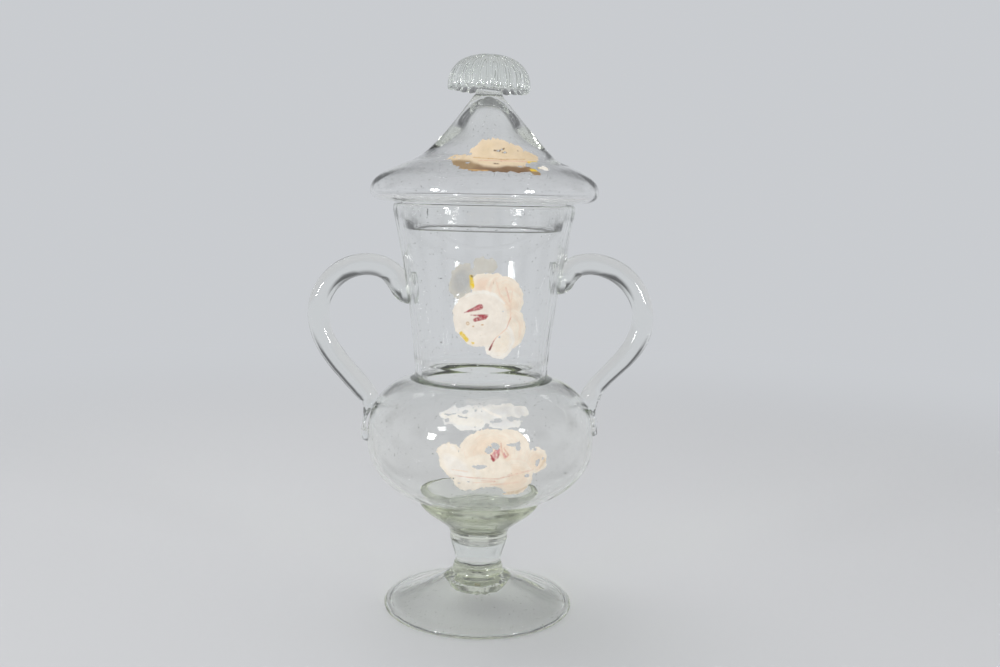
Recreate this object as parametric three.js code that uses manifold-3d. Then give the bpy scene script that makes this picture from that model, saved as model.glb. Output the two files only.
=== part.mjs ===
// A covered two-handled vase of blown, colourless glass with painted flowers, in millimetres, +Z up.
// The vase turns about Z and stands on z = 0, its handles lie in the XZ plane, and its front faces -Y.

import * as THREE from 'three';
import { mergeVertices } from 'three/addons/utils/BufferGeometryUtils.js';
import Module from 'manifold-3d';

const wasm = await Module();
wasm.setup();

// Fineness of the surfaces
const turned_sides = 30;
const long_curve_steps = 7;
const short_curve_steps = 4;
const handle_stations = 28;
const handle_sides = 10;
const rib_steps = 3;

// Clearances between neighbours
const fused_gap = 0.3;
const paint_gap = 0.3;

// Foot: a low blown cone, hollow below, with a thick fire-polished rim
const foot_radius = 53.4;
const foot_height = 19.8;
const foot_wall = 3.0;
const foot_rim_thickness = 3.8;
const foot_cone_curve = 1.25;
const foot_bearing_width = 2.4;
const pontil_radius = 14;
const pontil_thickness = 8.5;

// Stem, with the wad of glass under it and the collar above it
const stem_ring_base_radius = 14.4;
const stem_ring_top_radius = 13.5;
const stem_ring_height = 5.0;
const stem_base_radius = 13.0;
const stem_top_radius = 15.3;
const stem_height = 13.7;
const collar_top_radius = 17.2;
const collar_height = 6.1;
const edge_radius = 0.8;

// Cup: the second gather of glass, which cases the underside of the bulb
const cup_height = 18;
const cup_floor_thickness = 14.2;
const cup_lip_thickness = 2.0;
const cup_flare = 1.47;

// Bulb: two superellipse halves that meet at its widest level
const bulb_radius = 63.4;
const bulb_wall = 2.2;
const bulb_rise = 40.3;
const bulb_rise_exponent = 2.74;
const bulb_fall = 38.1;
const bulb_fall_exponent = 2.18;
const bulb_seat_depth = 37.5;

// Throat: the thick inner lip where bulb and neck join
const throat_radius = 30.5;
const throat_lip_height = 4.5;

// Neck: flares upward to a rounded rim
const neck_base_radius = 37.0;
const neck_mouth_radius = 49.9;
const neck_height = 96;
const neck_wall = 2.6;
const neck_flare = 1.45;
const rim_height = 5;
const rim_thickness = 3.4;
const rim_flat_width = 1.2;

// Lid: a hollow rolled rim, a rounded shoulder and a nearly straight cone, with a flange below
const lid_radius = 62.4;
const lid_height = 56.7;
const lid_wall = 2.0;
const lid_seat_radius = 52;
const lid_rim_height = 5.8;
const lid_shoulder_radius = 38.5;
const lid_shoulder_height = 24.8;
const lid_top_radius = 7.7;
const lid_rim_flatness = 0.6;
const lid_rim_roundness = 0.75;
const lid_shoulder_fullness = 0.6;
const lid_shoulder_hollow = 0.45;
const lid_shoulder_slope = 0.22;
const lid_cone_sag = 0.08;
const lid_crown_thickness = 7;
const flange_depth = 14.7;
const flange_clearance = 1.3;
const flange_taper = 1.8;

// Finial: a ribbed mushroom on a short wad of glass, leaning a little to the right
const finial_radius = 22.6;
const finial_height = 20.2;
const finial_dome_exponent = 2.3;
const finial_brim_drop = 2.5;
const finial_brim_round = 1.9;
const finial_hollow = 1.1;
const finial_ribs = 24;
const finial_rib_depth = 1.1;
const finial_lean_degrees = 2.5;
const finial_offset = 1.5;
const finial_stem_height = 4.9;
const finial_stem_waist_radius = 6.9;
const finial_stem_top_radius = 8.2;

// Handles: drawn rods, each pressed on the neck, carried round a loop and drawn down onto the bulb
const rod_radius = 6.1;
const pad_half_height = 8.6;
const pad_half_width = 7.8;
const pad_turn = 0.5;
const leg_bow = 0.9;
const handles = {
  left: {
    side: -1,
    loop_reach: 91.4,
    loop_radius: 27.5,
    loop_above_throat: 33.5,
    pad_above_throat: 48.6,
    landing_above_bulb: 19.2,
    tail_length: 20.5,
    tail_stand_off: 2.2,
    tail_half_thickness: 1.4,
    tail_half_width: 4.6,
    crimps: 2,
  },
  right: {
    side: 1,
    loop_reach: 89.3,
    loop_radius: 27.6,
    loop_above_throat: 35.3,
    pad_above_throat: 55.6,
    landing_above_bulb: 22.2,
    tail_length: 15.5,
    tail_stand_off: 1.5,
    tail_half_thickness: 1.5,
    tail_half_width: 4.4,
    crimps: 2,
  },
};
const crimp_depth = 0.35;
const tail_narrowing = 0.25;

// Painted flowers: each has its turn from the front in degrees, its height above the bulb's widest level,
// the throat or the neck's mouth, and its half sizes along the glass
const paint_thickness = 0.3;
const paint_steps = 28;
const paint_rings = 4;
const bulb_flower = { turn: 5.5, above: 1.7, width: 31, rise: 17.5, drop: 18, petals: 7, notch: 0.12 };
const bulb_petals_drop = 5;
const bulb_petals = {
  turn: 2.5,
  above: bulb_flower.above + bulb_flower.rise + paint_gap + bulb_petals_drop,
  width: 26,
  rise: 5.8,
  drop: bulb_petals_drop,
  petals: 8,
  notch: 0.08,
};
const neck_flower = { turn: 5.5, above: 38.5, width: 20, rise: 21.5, drop: 22, petals: 5, notch: 0.14 };
const neck_petals = { turn: -7, above: 59, width: 15, rise: 8, drop: 8, petals: 4, notch: 0.2, tilt: 36 };
const lid_flower = { turn: 7, above: 21, width: 25.5, rise: 12.5, drop: 3.5, petals: 7, notch: 0.1 };

// Levels up the vase, each piece standing on the one below
const stem_ring_level = foot_height;
const stem_level = stem_ring_level + stem_ring_height;
const collar_level = stem_level + stem_height;
const cup_level = collar_level + collar_height;
const bulb_seat_level = cup_level + cup_floor_thickness;
const bulb_level = bulb_seat_level + bulb_seat_depth;
const throat_level = bulb_level + superellipse_height(neck_base_radius, bulb_radius, bulb_rise, bulb_rise_exponent);
const mouth_level = throat_level + neck_height;
const rim_level = mouth_level - rim_height;
const lid_top_level = mouth_level + lid_height;

const glass = { color: 0xe4ebe0, roughness: 0.04, metalness: 0, transparent: true, opacity: 0.4 };
const thick_glass = { ...glass, color: 0xd3dcc4, opacity: 0.5 };
const cream_paint = { color: 0xeadfca, roughness: 0.6, metalness: 0 };
const grey_paint = { color: 0xc0c5c2, roughness: 0.65, metalness: 0 };

function point(x, y) {
  return new THREE.Vector2(x, y);
}

function superellipse_height(radius, full_radius, full_height, exponent) {
  return full_height * (1 - (radius / full_radius) ** exponent) ** (1 / exponent);
}

// Points of a curve given by its value at each share of its length, ends included.
function sampled(steps, at) {
  return Array.from({ length: steps + 1 }, (_, step) => at(step / steps));
}

// A long bend with two handles, and a short one round a corner.
function long_bend(...points) {
  return new THREE.CubicBezierCurve(...points).getPoints(long_curve_steps);
}

function short_bend(from, corner, to) {
  return new THREE.QuadraticBezierCurve(from, corner, to).getPoints(short_curve_steps);
}

// The outline moved square to itself, to its left as one walks along it, with mitred corners.
function moved_left(outline, distance) {
  return outline.map((here, index) => {
    const before = outline[Math.max(index - 1, 0)];
    const after = outline[Math.min(index + 1, outline.length - 1)];
    const arriving = here.clone().sub(before).normalize();
    const leaving = after.clone().sub(here).normalize();
    if (index === 0) arriving.copy(leaving);
    if (index === outline.length - 1) leaving.copy(arriving);
    const normal = point(-arriving.y - leaving.y, arriving.x + leaving.x);
    const mitre = 2 / normal.lengthSq();
    return here.clone().addScaledVector(normal, distance * mitre);
  });
}

// The radius of an outline that climbs steadily, at a level.
function radius_at(outline, level) {
  const above = Math.max(outline.findIndex((here) => here.y > level), 1);
  const low = outline[above - 1];
  const high = outline[above];
  return THREE.MathUtils.mapLinear(level, low.y, high.y, low.x, high.x);
}

// A closed mesh as a solid, its faces turned out.
function solid(geometry) {
  const bare = geometry.clone();
  bare.deleteAttribute('normal');
  bare.deleteAttribute('uv');
  const merged = mergeVertices(bare, 1e-4);
  const place = merged.attributes.position;
  const corners = [];
  for (let face = 0; face < merged.index.count; face += 3) {
    const [a, b, c] = [0, 1, 2].map((corner) => merged.index.getX(face + corner));
    if (a !== b && b !== c && c !== a) corners.push(a, b, c);
  }
  const corner_at = (index) => new THREE.Vector3().fromBufferAttribute(place, corners[index]);
  let volume = 0;
  for (let face = 0; face < corners.length; face += 3) {
    volume += corner_at(face).dot(corner_at(face + 1).cross(corner_at(face + 2)));
  }
  if (volume < 0) corners.reverse();
  const triVerts = new Uint32Array(corners);
  return new wasm.Manifold(new wasm.Mesh({ numProp: 3, vertProperties: place.array, triVerts }));
}

function turned_geometry(outline, sides = turned_sides) {
  return new THREE.LatheGeometry(outline, sides).rotateX(Math.PI / 2);
}

function turned(outline) {
  return solid(turned_geometry(outline));
}

function piece(name, shape, look) {
  const { vertProperties, triVerts } = shape.getMesh();
  const geometry = new THREE.BufferGeometry();
  geometry.setAttribute('position', new THREE.BufferAttribute(vertProperties, 3));
  geometry.setIndex(new THREE.BufferAttribute(triVerts, 1));
  geometry.computeVertexNormals();
  const mesh = new THREE.Mesh(geometry, new THREE.MeshStandardMaterial(look));
  mesh.name = name;
  return mesh;
}

// Foot: the rim bead bears on the table, and the underside follows the cone up to the pontil scar.
function foot() {
  const bead_inner_radius = foot_radius - foot_rim_thickness;
  const cone_width = bead_inner_radius - stem_ring_base_radius;
  const cone_rise = foot_height - foot_rim_thickness;
  const cone = sampled(long_curve_steps, (share) => point(
    bead_inner_radius - cone_width * share,
    foot_rim_thickness + cone_rise * share ** foot_cone_curve,
  ));
  const hollow_rise = foot_height - pontil_thickness;
  const bearing_outer = foot_radius - (foot_rim_thickness - foot_bearing_width) / 2;
  const bearing_inner = bearing_outer - foot_bearing_width;
  const underside = moved_left(cone, foot_wall).filter((here) => here.x > pontil_radius && here.y < hollow_rise);
  return turned([
    point(0, hollow_rise),
    point(pontil_radius * 0.6, hollow_rise),
    ...underside.reverse(),
    point(bearing_inner, 0),
    point(bearing_outer, 0),
    ...long_bend(
      point(foot_radius, foot_rim_thickness * 0.2),
      point(foot_radius, foot_rim_thickness * 0.9),
      point(foot_radius - foot_rim_thickness * 0.4, foot_rim_thickness),
      point(bead_inner_radius, foot_rim_thickness),
    ),
    ...cone.slice(1),
    point(0, foot_height),
  ]);
}

function stem_ring() {
  const top = stem_ring_level + stem_ring_height;
  return turned([
    point(0, stem_ring_level),
    point(stem_ring_base_radius, stem_ring_level),
    ...short_bend(
      point(stem_ring_top_radius, top - edge_radius),
      point(stem_ring_top_radius, top),
      point(stem_ring_top_radius - edge_radius, top),
    ),
    point(0, top),
  ]);
}

function stem() {
  return turned([
    point(0, stem_level),
    ...short_bend(
      point(stem_base_radius, stem_level),
      point(stem_base_radius, stem_level + stem_height / 2),
      point(stem_top_radius, collar_level),
    ),
    point(0, collar_level),
  ]);
}

function collar() {
  return turned([
    point(0, collar_level),
    ...short_bend(
      point(stem_top_radius + edge_radius / 2, collar_level),
      point(stem_top_radius + edge_radius / 2, collar_level + collar_height / 2),
      point(collar_top_radius, cup_level),
    ),
    point(0, cup_level),
  ]);
}

// The outline of the bulb's outside, from its flat seat up to the throat.
const bulb_outline = [
  ...sampled(long_curve_steps, (share) => {
    const angle = Math.asin(bulb_seat_depth / bulb_fall) * (1 - share);
    const drop = bulb_fall * Math.sin(angle);
    return point(superellipse_height(drop, bulb_fall, bulb_radius, bulb_fall_exponent), bulb_level - drop);
  }),
  ...sampled(long_curve_steps, (share) => {
    const climb = (throat_level - bulb_level) * Math.sin(share * Math.PI / 2);
    return point(superellipse_height(climb, bulb_rise, bulb_radius, bulb_rise_exponent), bulb_level + climb);
  }).slice(1),
];

// The outline of the neck's outside, from the throat up to the start of the rim.
const neck_outline = sampled(long_curve_steps, (share) => point(
  neck_base_radius + (neck_mouth_radius - neck_base_radius) * share ** neck_flare,
  THREE.MathUtils.lerp(throat_level, rim_level, share),
));

// Cup: flares from the collar and closes on the bulb, with the bulb's own underside for its inside.
function bulb_cup() {
  const lip_level = cup_level + cup_height;
  const inside = moved_left(bulb_outline, -fused_gap).filter((here) => here.y > bulb_seat_level && here.y < lip_level);
  const lip_inner_radius = radius_at(bulb_outline, lip_level) + fused_gap;
  const lip_radius = lip_inner_radius + cup_lip_thickness;
  const outside = sampled(long_curve_steps, (share) => point(
    collar_top_radius + (lip_radius - collar_top_radius) * Math.sin(share * Math.PI / 2) ** cup_flare,
    THREE.MathUtils.lerp(cup_level, lip_level, share),
  ));
  return turned([
    point(0, cup_level),
    ...outside,
    point(lip_inner_radius, lip_level),
    ...inside.reverse(),
    point(bulb_outline[0].x + fused_gap, bulb_seat_level),
    point(0, bulb_seat_level),
  ]);
}

// Bulb: the wall turns in at the top as the lower half of the throat's lip.
function bulb() {
  const lip_level = throat_level - throat_lip_height / 2;
  const inside = moved_left(bulb_outline, bulb_wall).filter((here) => here.y < lip_level - bulb_wall && here.x > 0);
  return turned([
    point(0, bulb_seat_level),
    ...bulb_outline,
    point(throat_radius, throat_level),
    point(throat_radius, lip_level),
    ...inside.reverse(),
    point(0, bulb_seat_level + bulb_wall),
  ]);
}

// Neck: the foot of its wall is the upper half of the throat's lip, and its rim is rounded and thicker.
function neck() {
  const lip_level = throat_level + throat_lip_height / 2;
  const rim_inner_radius = neck_mouth_radius - rim_thickness;
  const flat_outer_radius = neck_mouth_radius - (rim_thickness - rim_flat_width) / 2;
  const flat_inner_radius = flat_outer_radius - rim_flat_width;
  const inside = moved_left(neck_outline, neck_wall).filter((here) => here.y > lip_level + neck_wall);
  return turned([
    point(throat_radius, throat_level),
    ...neck_outline,
    ...short_bend(point(neck_mouth_radius, mouth_level - rim_height / 2), point(neck_mouth_radius, mouth_level),
      point(flat_outer_radius, mouth_level)),
    ...short_bend(point(flat_inner_radius, mouth_level), point(rim_inner_radius, mouth_level),
      point(rim_inner_radius, mouth_level - rim_height / 2)),
    ...inside.reverse(),
    point(neck_base_radius - neck_wall, lip_level + neck_wall),
    point(throat_radius, lip_level),
    point(throat_radius, throat_level),
  ]);
}

// The outline of the lid's outside, from its seat on the neck's rim up to the flat under the finial.
const lid_outline = [
  ...long_bend(
    point(lid_seat_radius, mouth_level),
    point(THREE.MathUtils.lerp(lid_seat_radius, lid_radius, lid_rim_flatness), mouth_level),
    point(lid_radius, mouth_level + lid_rim_height * (1 - lid_rim_roundness)),
    point(lid_radius, mouth_level + lid_rim_height),
  ),
  ...long_bend(
    point(lid_radius, mouth_level + lid_rim_height),
    point(lid_radius, mouth_level + lid_shoulder_height * lid_shoulder_fullness),
    point(
      THREE.MathUtils.lerp(lid_shoulder_radius, lid_radius, lid_shoulder_hollow),
      mouth_level + lid_shoulder_height * (1 - lid_shoulder_slope),
    ),
    point(lid_shoulder_radius, mouth_level + lid_shoulder_height),
  ).slice(1),
  ...short_bend(
    point(lid_shoulder_radius, mouth_level + lid_shoulder_height),
    point(
      THREE.MathUtils.lerp(lid_top_radius, lid_shoulder_radius, 0.5),
      mouth_level + THREE.MathUtils.lerp(lid_shoulder_height, lid_height, 0.5 - lid_cone_sag),
    ),
    point(lid_top_radius, lid_top_level),
  ).slice(1),
];

// Lid: one blown wall from the crown over the shoulder, round the hollow rim and down the flange.
function lid() {
  const flange_radius = neck_mouth_radius - rim_thickness - flange_clearance;
  const flange_end_radius = flange_radius - flange_taper;
  const flange_end_level = mouth_level - flange_depth;
  const crown_level = lid_top_level - lid_crown_thickness;
  const flange_and_outside = [
    point(flange_end_radius, flange_end_level + lid_wall / 2),
    point(flange_radius, mouth_level),
    ...lid_outline,
  ];
  const inside = moved_left(flange_and_outside, lid_wall).filter((here) => here.x > 0 && here.y < crown_level - lid_wall);
  return turned([
    ...short_bend(
      inside[0],
      point(flange_end_radius - lid_wall / 2, flange_end_level - lid_wall / 2),
      flange_and_outside[0],
    ).slice(0, -1),
    ...flange_and_outside,
    point(0, lid_top_level),
    point(0, crown_level),
    ...inside.reverse(),
  ]);
}

// The finial's wad, drawn from the lid's flat crown and bent over to the leaning finial.
function finial_stem() {
  const lean = THREE.MathUtils.degToRad(finial_lean_degrees);
  const geometry = turned_geometry([
    point(0, 0),
    ...short_bend(
      point(lid_top_radius, 0),
      point(2 * finial_stem_waist_radius - (lid_top_radius + finial_stem_top_radius) / 2, finial_stem_height / 2),
      point(finial_stem_top_radius, finial_stem_height),
    ),
    point(0, finial_stem_height),
  ]);
  const place = geometry.attributes.position;
  for (let index = 0; index < place.count; index += 1) {
    const share = place.getZ(index) / finial_stem_height;
    const bent = new THREE.Vector3(place.getX(index), place.getY(index), 0);
    bent.applyAxisAngle(new THREE.Vector3(0, 1, 0), lean * share);
    place.setXYZ(index, bent.x + finial_offset * share, bent.y, bent.z + place.getZ(index) + lid_top_level);
  }
  return solid(geometry);
}

// Finial: a turned mushroom whose rim and dome are drawn in between the ribs, more so towards the brim.
function finial() {
  const brim_bottom = -finial_brim_drop;
  const dome_height = finial_height - finial_brim_round;
  const geometry = turned_geometry([
    point(0, fused_gap),
    point(finial_stem_top_radius + edge_radius, fused_gap),
    point(finial_radius * 0.7, finial_hollow),
    ...short_bend(
      point(finial_radius - finial_brim_round * 1.6, brim_bottom),
      point(finial_radius, brim_bottom),
      point(finial_radius, brim_bottom + finial_brim_round),
    ),
    ...sampled(long_curve_steps, (share) => {
      const climb = dome_height * Math.sin(share * Math.PI / 2);
      const radius = superellipse_height(climb, dome_height, finial_radius, finial_dome_exponent);
      return point(radius, brim_bottom + finial_brim_round + climb);
    }).slice(1),
  ], finial_ribs * rib_steps);
  const place = geometry.attributes.position;
  for (let index = 0; index < place.count; index += 1) {
    const radius = Math.hypot(place.getX(index), place.getY(index));
    const angle = Math.atan2(place.getY(index), place.getX(index));
    const fade = THREE.MathUtils.smoothstep(radius, finial_stem_top_radius + edge_radius, finial_radius);
    const groove = 1 - Math.abs(Math.cos(angle * finial_ribs / 2));
    const drawn_in = 1 - finial_rib_depth * fade * groove / finial_radius;
    place.setXY(index, place.getX(index) * drawn_in, place.getY(index) * drawn_in);
  }
  return solid(geometry);
}

// The outside of the vase's body with the fused gap around it, which trims the ends of the handles.
function body_with_gap() {
  const outside = moved_left([...bulb_outline, ...neck_outline.slice(1)], -fused_gap);
  return turned([point(0, bulb_seat_level), ...outside, point(0, rim_level)]);
}

// The centre line and section of a handle: pad, loop, straight leg, press on the bulb and pincered tail.
// Each station is [outward, level, half thickness, half width].
function handle_stations_of(handle) {
  const centre = point(handle.loop_reach - handle.loop_radius, throat_level + handle.loop_above_throat);
  const pad_level = throat_level + handle.pad_above_throat;
  const pad = point(radius_at(neck_outline, pad_level), pad_level);
  const landing_level = bulb_level + handle.landing_above_bulb;
  const landing_radius = radius_at(bulb_outline, landing_level);
  const landing = point(landing_radius + rod_radius * 0.3, landing_level + rod_radius * 0.4);
  const pad_angle = pad.clone().sub(centre).angle();
  const start_angle = pad_angle - pad_turn;
  const to_landing = landing.clone().sub(centre);
  const landing_angle = to_landing.angle() - 2 * Math.PI;
  const leave_angle = landing_angle + Math.acos(handle.loop_radius / to_landing.length());
  const leave = point(handle.loop_radius, 0).rotateAround(point(0, 0), leave_angle).add(centre);
  const leg_middle = leave.clone().lerp(landing, 0.5).add(point(leg_bow, -leg_bow / 2));
  const loop = sampled(6, (share) => {
    const angle = THREE.MathUtils.lerp(start_angle, leave_angle, share);
    return [
      centre.x + handle.loop_radius * Math.cos(angle),
      centre.y + handle.loop_radius * Math.sin(angle),
      rod_radius,
      rod_radius,
    ];
  });
  const tail = sampled(2 * handle.crimps, (share) => {
    const level = landing_level - rod_radius - (handle.tail_length - rod_radius) * share;
    const crimp = 1 + crimp_depth * Math.cos(share * handle.crimps * 2 * Math.PI);
    return [
      radius_at(bulb_outline, level) + handle.tail_stand_off,
      level,
      handle.tail_half_thickness * crimp,
      handle.tail_half_width * (1 - tail_narrowing * share),
    ];
  });
  return [
    [pad.x - rod_radius, pad.y, pad_half_height, pad_half_width],
    [pad.x, pad.y, pad_half_height, pad_half_width],
    ...loop,
    [leg_middle.x, leg_middle.y, rod_radius, rod_radius],
    [landing.x, landing.y, rod_radius * 0.85, rod_radius],
    [landing_radius + rod_radius * 0.1, landing_level - rod_radius * 0.45, rod_radius * 0.55, rod_radius],
    ...tail,
  ];
}

// A handle lofted along its stations, bent in the XZ plane, and trimmed to the outside of the body.
function handle_rod(handle) {
  const stations = handle_stations_of(handle);
  const line = new THREE.CatmullRomCurve3(stations.map(([out, level]) => new THREE.Vector3(out, 0, level)));
  const section = new THREE.CatmullRomCurve3(stations.map(([, , thick, wide]) => new THREE.Vector3(thick, wide, 0)));
  const positions = [];
  const faces = [];
  for (let ring = 0; ring <= handle_stations; ring += 1) {
    const share = ring / handle_stations;
    const middle = line.getPoint(share);
    const along = line.getTangent(share);
    const across = new THREE.Vector3(along.z, 0, -along.x);
    const half = section.getPoint(share);
    for (let side = 0; side < handle_sides; side += 1) {
      const angle = side * 2 * Math.PI / handle_sides;
      const corner = middle.clone().addScaledVector(across, half.x * Math.cos(angle));
      positions.push(handle.side * corner.x, half.y * Math.sin(angle), corner.z);
      if (ring === handle_stations) continue;
      const here = ring * handle_sides + side;
      const next = ring * handle_sides + (side + 1) % handle_sides;
      faces.push(here, next, here + handle_sides, next, next + handle_sides, here + handle_sides);
    }
  }
  const last = handle_stations * handle_sides;
  for (let side = 1; side < handle_sides - 1; side += 1) {
    faces.push(0, side + 1, side, last, last + side, last + side + 1);
  }
  const geometry = new THREE.BufferGeometry();
  geometry.setAttribute('position', new THREE.Float32BufferAttribute(positions, 3));
  geometry.setIndex(faces);
  return solid(geometry).subtract(body_with_gap());
}

// A film of paint on a turned surface: a lobed outline filled by rings, lifted off the glass along its normal.
function paint_film(outline, base_level, flower, { lift = paint_gap, thickness = paint_thickness, spread = 0 } = {}) {
  const centre_turn = THREE.MathUtils.degToRad(flower.turn);
  const slope_step = 0.5;
  const placed = (across, up, height) => {
    const level = base_level + flower.above + up;
    const radius = radius_at(outline, level);
    const slope = radius_at(outline, level + slope_step) - radius_at(outline, level - slope_step);
    const normal = point(2 * slope_step, -slope).normalize();
    const turn = centre_turn + across / radius;
    const reach = radius + height * normal.x;
    return [reach * Math.sin(turn), -reach * Math.cos(turn), level + height * normal.y];
  };
  const positions = [];
  const faces = [];
  const layer = 1 + paint_rings * paint_steps;
  for (const height of [lift + thickness, lift]) {
    positions.push(...placed(0, 0, height));
    for (let ring = 1; ring <= paint_rings; ring += 1) {
      for (let step = 0; step < paint_steps; step += 1) {
        const angle = step * 2 * Math.PI / paint_steps;
        const lobe = 1 - flower.notch * (1 - Math.abs(Math.cos(angle * flower.petals / 2)));
        const share = ring / paint_rings;
        const half_height = Math.sin(angle) > 0 ? flower.rise : flower.drop;
        const edge = point(
          Math.cos(angle) * (flower.width * lobe + spread) * share,
          Math.sin(angle) * (half_height * lobe + spread) * share,
        ).rotateAround(point(0, 0), THREE.MathUtils.degToRad(flower.tilt ?? 0));
        positions.push(...placed(edge.x, edge.y, height));
      }
    }
  }
  for (let step = 0; step < paint_steps; step += 1) {
    const next = (step + 1) % paint_steps;
    faces.push(0, 1 + step, 1 + next, layer, layer + 1 + next, layer + 1 + step);
    for (let ring = 1; ring < paint_rings; ring += 1) {
      const [a, b] = [step, next].map((turn) => 1 + (ring - 1) * paint_steps + turn);
      const [c, d] = [b + paint_steps, a + paint_steps];
      faces.push(a, d, c, a, c, b, layer + a, layer + c, layer + d, layer + a, layer + b, layer + c);
    }
    const [edge, edge_next] = [step, next].map((turn) => 1 + (paint_rings - 1) * paint_steps + turn);
    faces.push(edge, layer + edge, layer + edge_next, edge, layer + edge_next, edge_next);
  }
  const geometry = new THREE.BufferGeometry();
  geometry.setAttribute('position', new THREE.Float32BufferAttribute(positions, 3));
  geometry.setIndex(faces);
  return solid(geometry);
}

// The lid's outside above its widest level, where the paint lies.
const lid_upper_outline = lid_outline.filter((here) => here.y >= mouth_level + lid_rim_height);

// A flower's film grown all round, which trims the petals that lie beside the flower.
const cutting_film = { lift: -paint_gap, thickness: 3 * paint_gap + paint_thickness, spread: paint_gap };

const vase = new THREE.Group();
vase.add(
  piece('foot', foot(), thick_glass),
  piece('stem_ring', stem_ring(), thick_glass),
  piece('stem', stem(), glass),
  piece('collar', collar(), thick_glass),
  piece('bulb_cup', bulb_cup(), thick_glass),
  piece('bulb', bulb(), glass),
  piece('neck', neck(), glass),
  piece('left_handle', handle_rod(handles.left), glass),
  piece('right_handle', handle_rod(handles.right), glass),
  piece('bulb_flower', paint_film(bulb_outline, bulb_level, bulb_flower), cream_paint),
  piece('bulb_petals', paint_film(bulb_outline, bulb_level, bulb_petals), grey_paint),
  piece('neck_flower', paint_film(neck_outline, throat_level, neck_flower), cream_paint),
  piece(
    'neck_petals',
    paint_film(neck_outline, throat_level, neck_petals).subtract(
      paint_film(neck_outline, throat_level, neck_flower, cutting_film),
    ),
    grey_paint,
  ),
);

const cover = new THREE.Group();
const leaning_finial = new THREE.Group();
leaning_finial.position.set(finial_offset, 0, lid_top_level + finial_stem_height);
leaning_finial.rotation.y = THREE.MathUtils.degToRad(finial_lean_degrees);
leaning_finial.add(piece('finial', finial(), glass));
cover.add(
  piece('lid', lid(), glass),
  piece('lid_flower', paint_film(lid_upper_outline, mouth_level, lid_flower), cream_paint),
  piece('finial_stem', finial_stem(), glass),
  leaning_finial,
);
vase.add(cover);

export default vase;
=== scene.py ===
# %% [markdown]
# # A covered vase of blown glass
#
# The real vase was blown, drawn and pincered hot, then painted cold with a few
# flowers, most of which have flaked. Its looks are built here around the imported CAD
# model, which stays the fixed frame: every piece below stands for one CAD node, in the
# same place, with smoother walls, softer joints and the small accidents of hand work.

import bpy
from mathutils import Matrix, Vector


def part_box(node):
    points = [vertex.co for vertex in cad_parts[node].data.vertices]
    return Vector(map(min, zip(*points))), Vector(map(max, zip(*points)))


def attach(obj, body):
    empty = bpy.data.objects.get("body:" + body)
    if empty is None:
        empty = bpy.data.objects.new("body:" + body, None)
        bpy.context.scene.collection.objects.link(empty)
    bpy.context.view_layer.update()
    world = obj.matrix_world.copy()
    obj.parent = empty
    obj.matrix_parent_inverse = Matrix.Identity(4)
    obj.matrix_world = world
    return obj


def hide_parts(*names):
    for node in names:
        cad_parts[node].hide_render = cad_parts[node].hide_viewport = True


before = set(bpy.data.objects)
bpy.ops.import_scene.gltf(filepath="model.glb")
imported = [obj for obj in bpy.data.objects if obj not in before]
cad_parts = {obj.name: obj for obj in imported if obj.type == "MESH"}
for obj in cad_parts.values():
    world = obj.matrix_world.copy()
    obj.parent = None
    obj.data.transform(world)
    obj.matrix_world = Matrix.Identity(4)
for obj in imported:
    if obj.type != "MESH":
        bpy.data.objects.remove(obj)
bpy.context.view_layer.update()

# %% [markdown]
# ## The camera
#
# The photograph looks slightly down on the vase from the height of its mouth, and the vase leans a
# degree to the right in it. The lens and the distance follow from how round the ellipses of the
# foot and the rims look. The camera comes first, so that every later step can be judged through it.

# %% Camera
import math

import bmesh
import bpy
import numpy as np
from mathutils import Matrix, Vector, noise

camera_place = Vector((0, -0.600, 0.2365))
camera_tilt_down = math.radians(7.61)
camera_roll = math.radians(1.0)
camera_data = bpy.data.cameras.new("camera")
camera_data.lens = 39.06
camera_data.sensor_width = 36
camera_data.shift_x = 0.01804
camera_data.clip_start = 0.01
camera = bpy.data.objects.new("camera", camera_data)
bpy.context.scene.collection.objects.link(camera)
camera.matrix_world = (
    Matrix.Translation(camera_place)
    @ Matrix.Rotation(math.pi / 2 - camera_tilt_down, 4, "X")
    @ Matrix.Rotation(camera_roll, 4, "Z")
)
bpy.context.scene.camera = camera
bpy.context.scene.view_settings.view_transform = "Standard"
print("camera", round(camera_data.lens, 2), "mm lens at", tuple(camera_place))

# %% [markdown]
# ## Working in millimetres
#
# A glassmaker thinks of a turned piece as its outline: how far the wall stands from
# the axis at each level. Below, an outline is a list of (radius, level) points in
# millimetres, and one scaling at the end makes it metres. The main radii and levels
# are read from the CAD nodes, so that each piece stays where the frame says.

# %% Radii and levels of the CAD nodes
millimetre = 0.001


def reach(node):
    """How far a turned node stands from the axis, on -Y, where its facets have a corner."""
    return -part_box(node)[0].y / millimetre


def top(node):
    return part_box(node)[1].z / millimetre


foot_radius, foot_top = reach("foot"), top("foot")
ring_radius, ring_top = reach("stem_ring"), top("stem_ring")
stem_radius, stem_top = reach("stem"), top("stem")
collar_radius, collar_top = reach("collar"), top("collar")
cup_top = top("bulb_cup")
bulb_radius, throat = reach("bulb"), top("bulb")
mouth_radius, mouth = reach("neck"), top("neck")
lid_radius, lid_top = reach("lid"), top("lid")
print("throat", round(throat, 2), "mouth", round(mouth, 2), "lid top", round(lid_top, 2))

# %% [markdown]
# ## Bends
#
# Glass has no drawn corners: it flows from one line into the next. A short
# bend has one pull point and a long bend has two, as a draughtsman's curves
# do, and a wall's inner line is its outer line moved square to itself.

# %% Bends and walls
def shares(steps):
    return [step / steps for step in range(steps + 1)]


def short_bend(start, pull, end, steps=8):
    start, pull, end = Vector(start), Vector(pull), Vector(end)
    return [tuple(start.lerp(pull, s).lerp(pull.lerp(end, s), s)) for s in shares(steps)]


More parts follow.
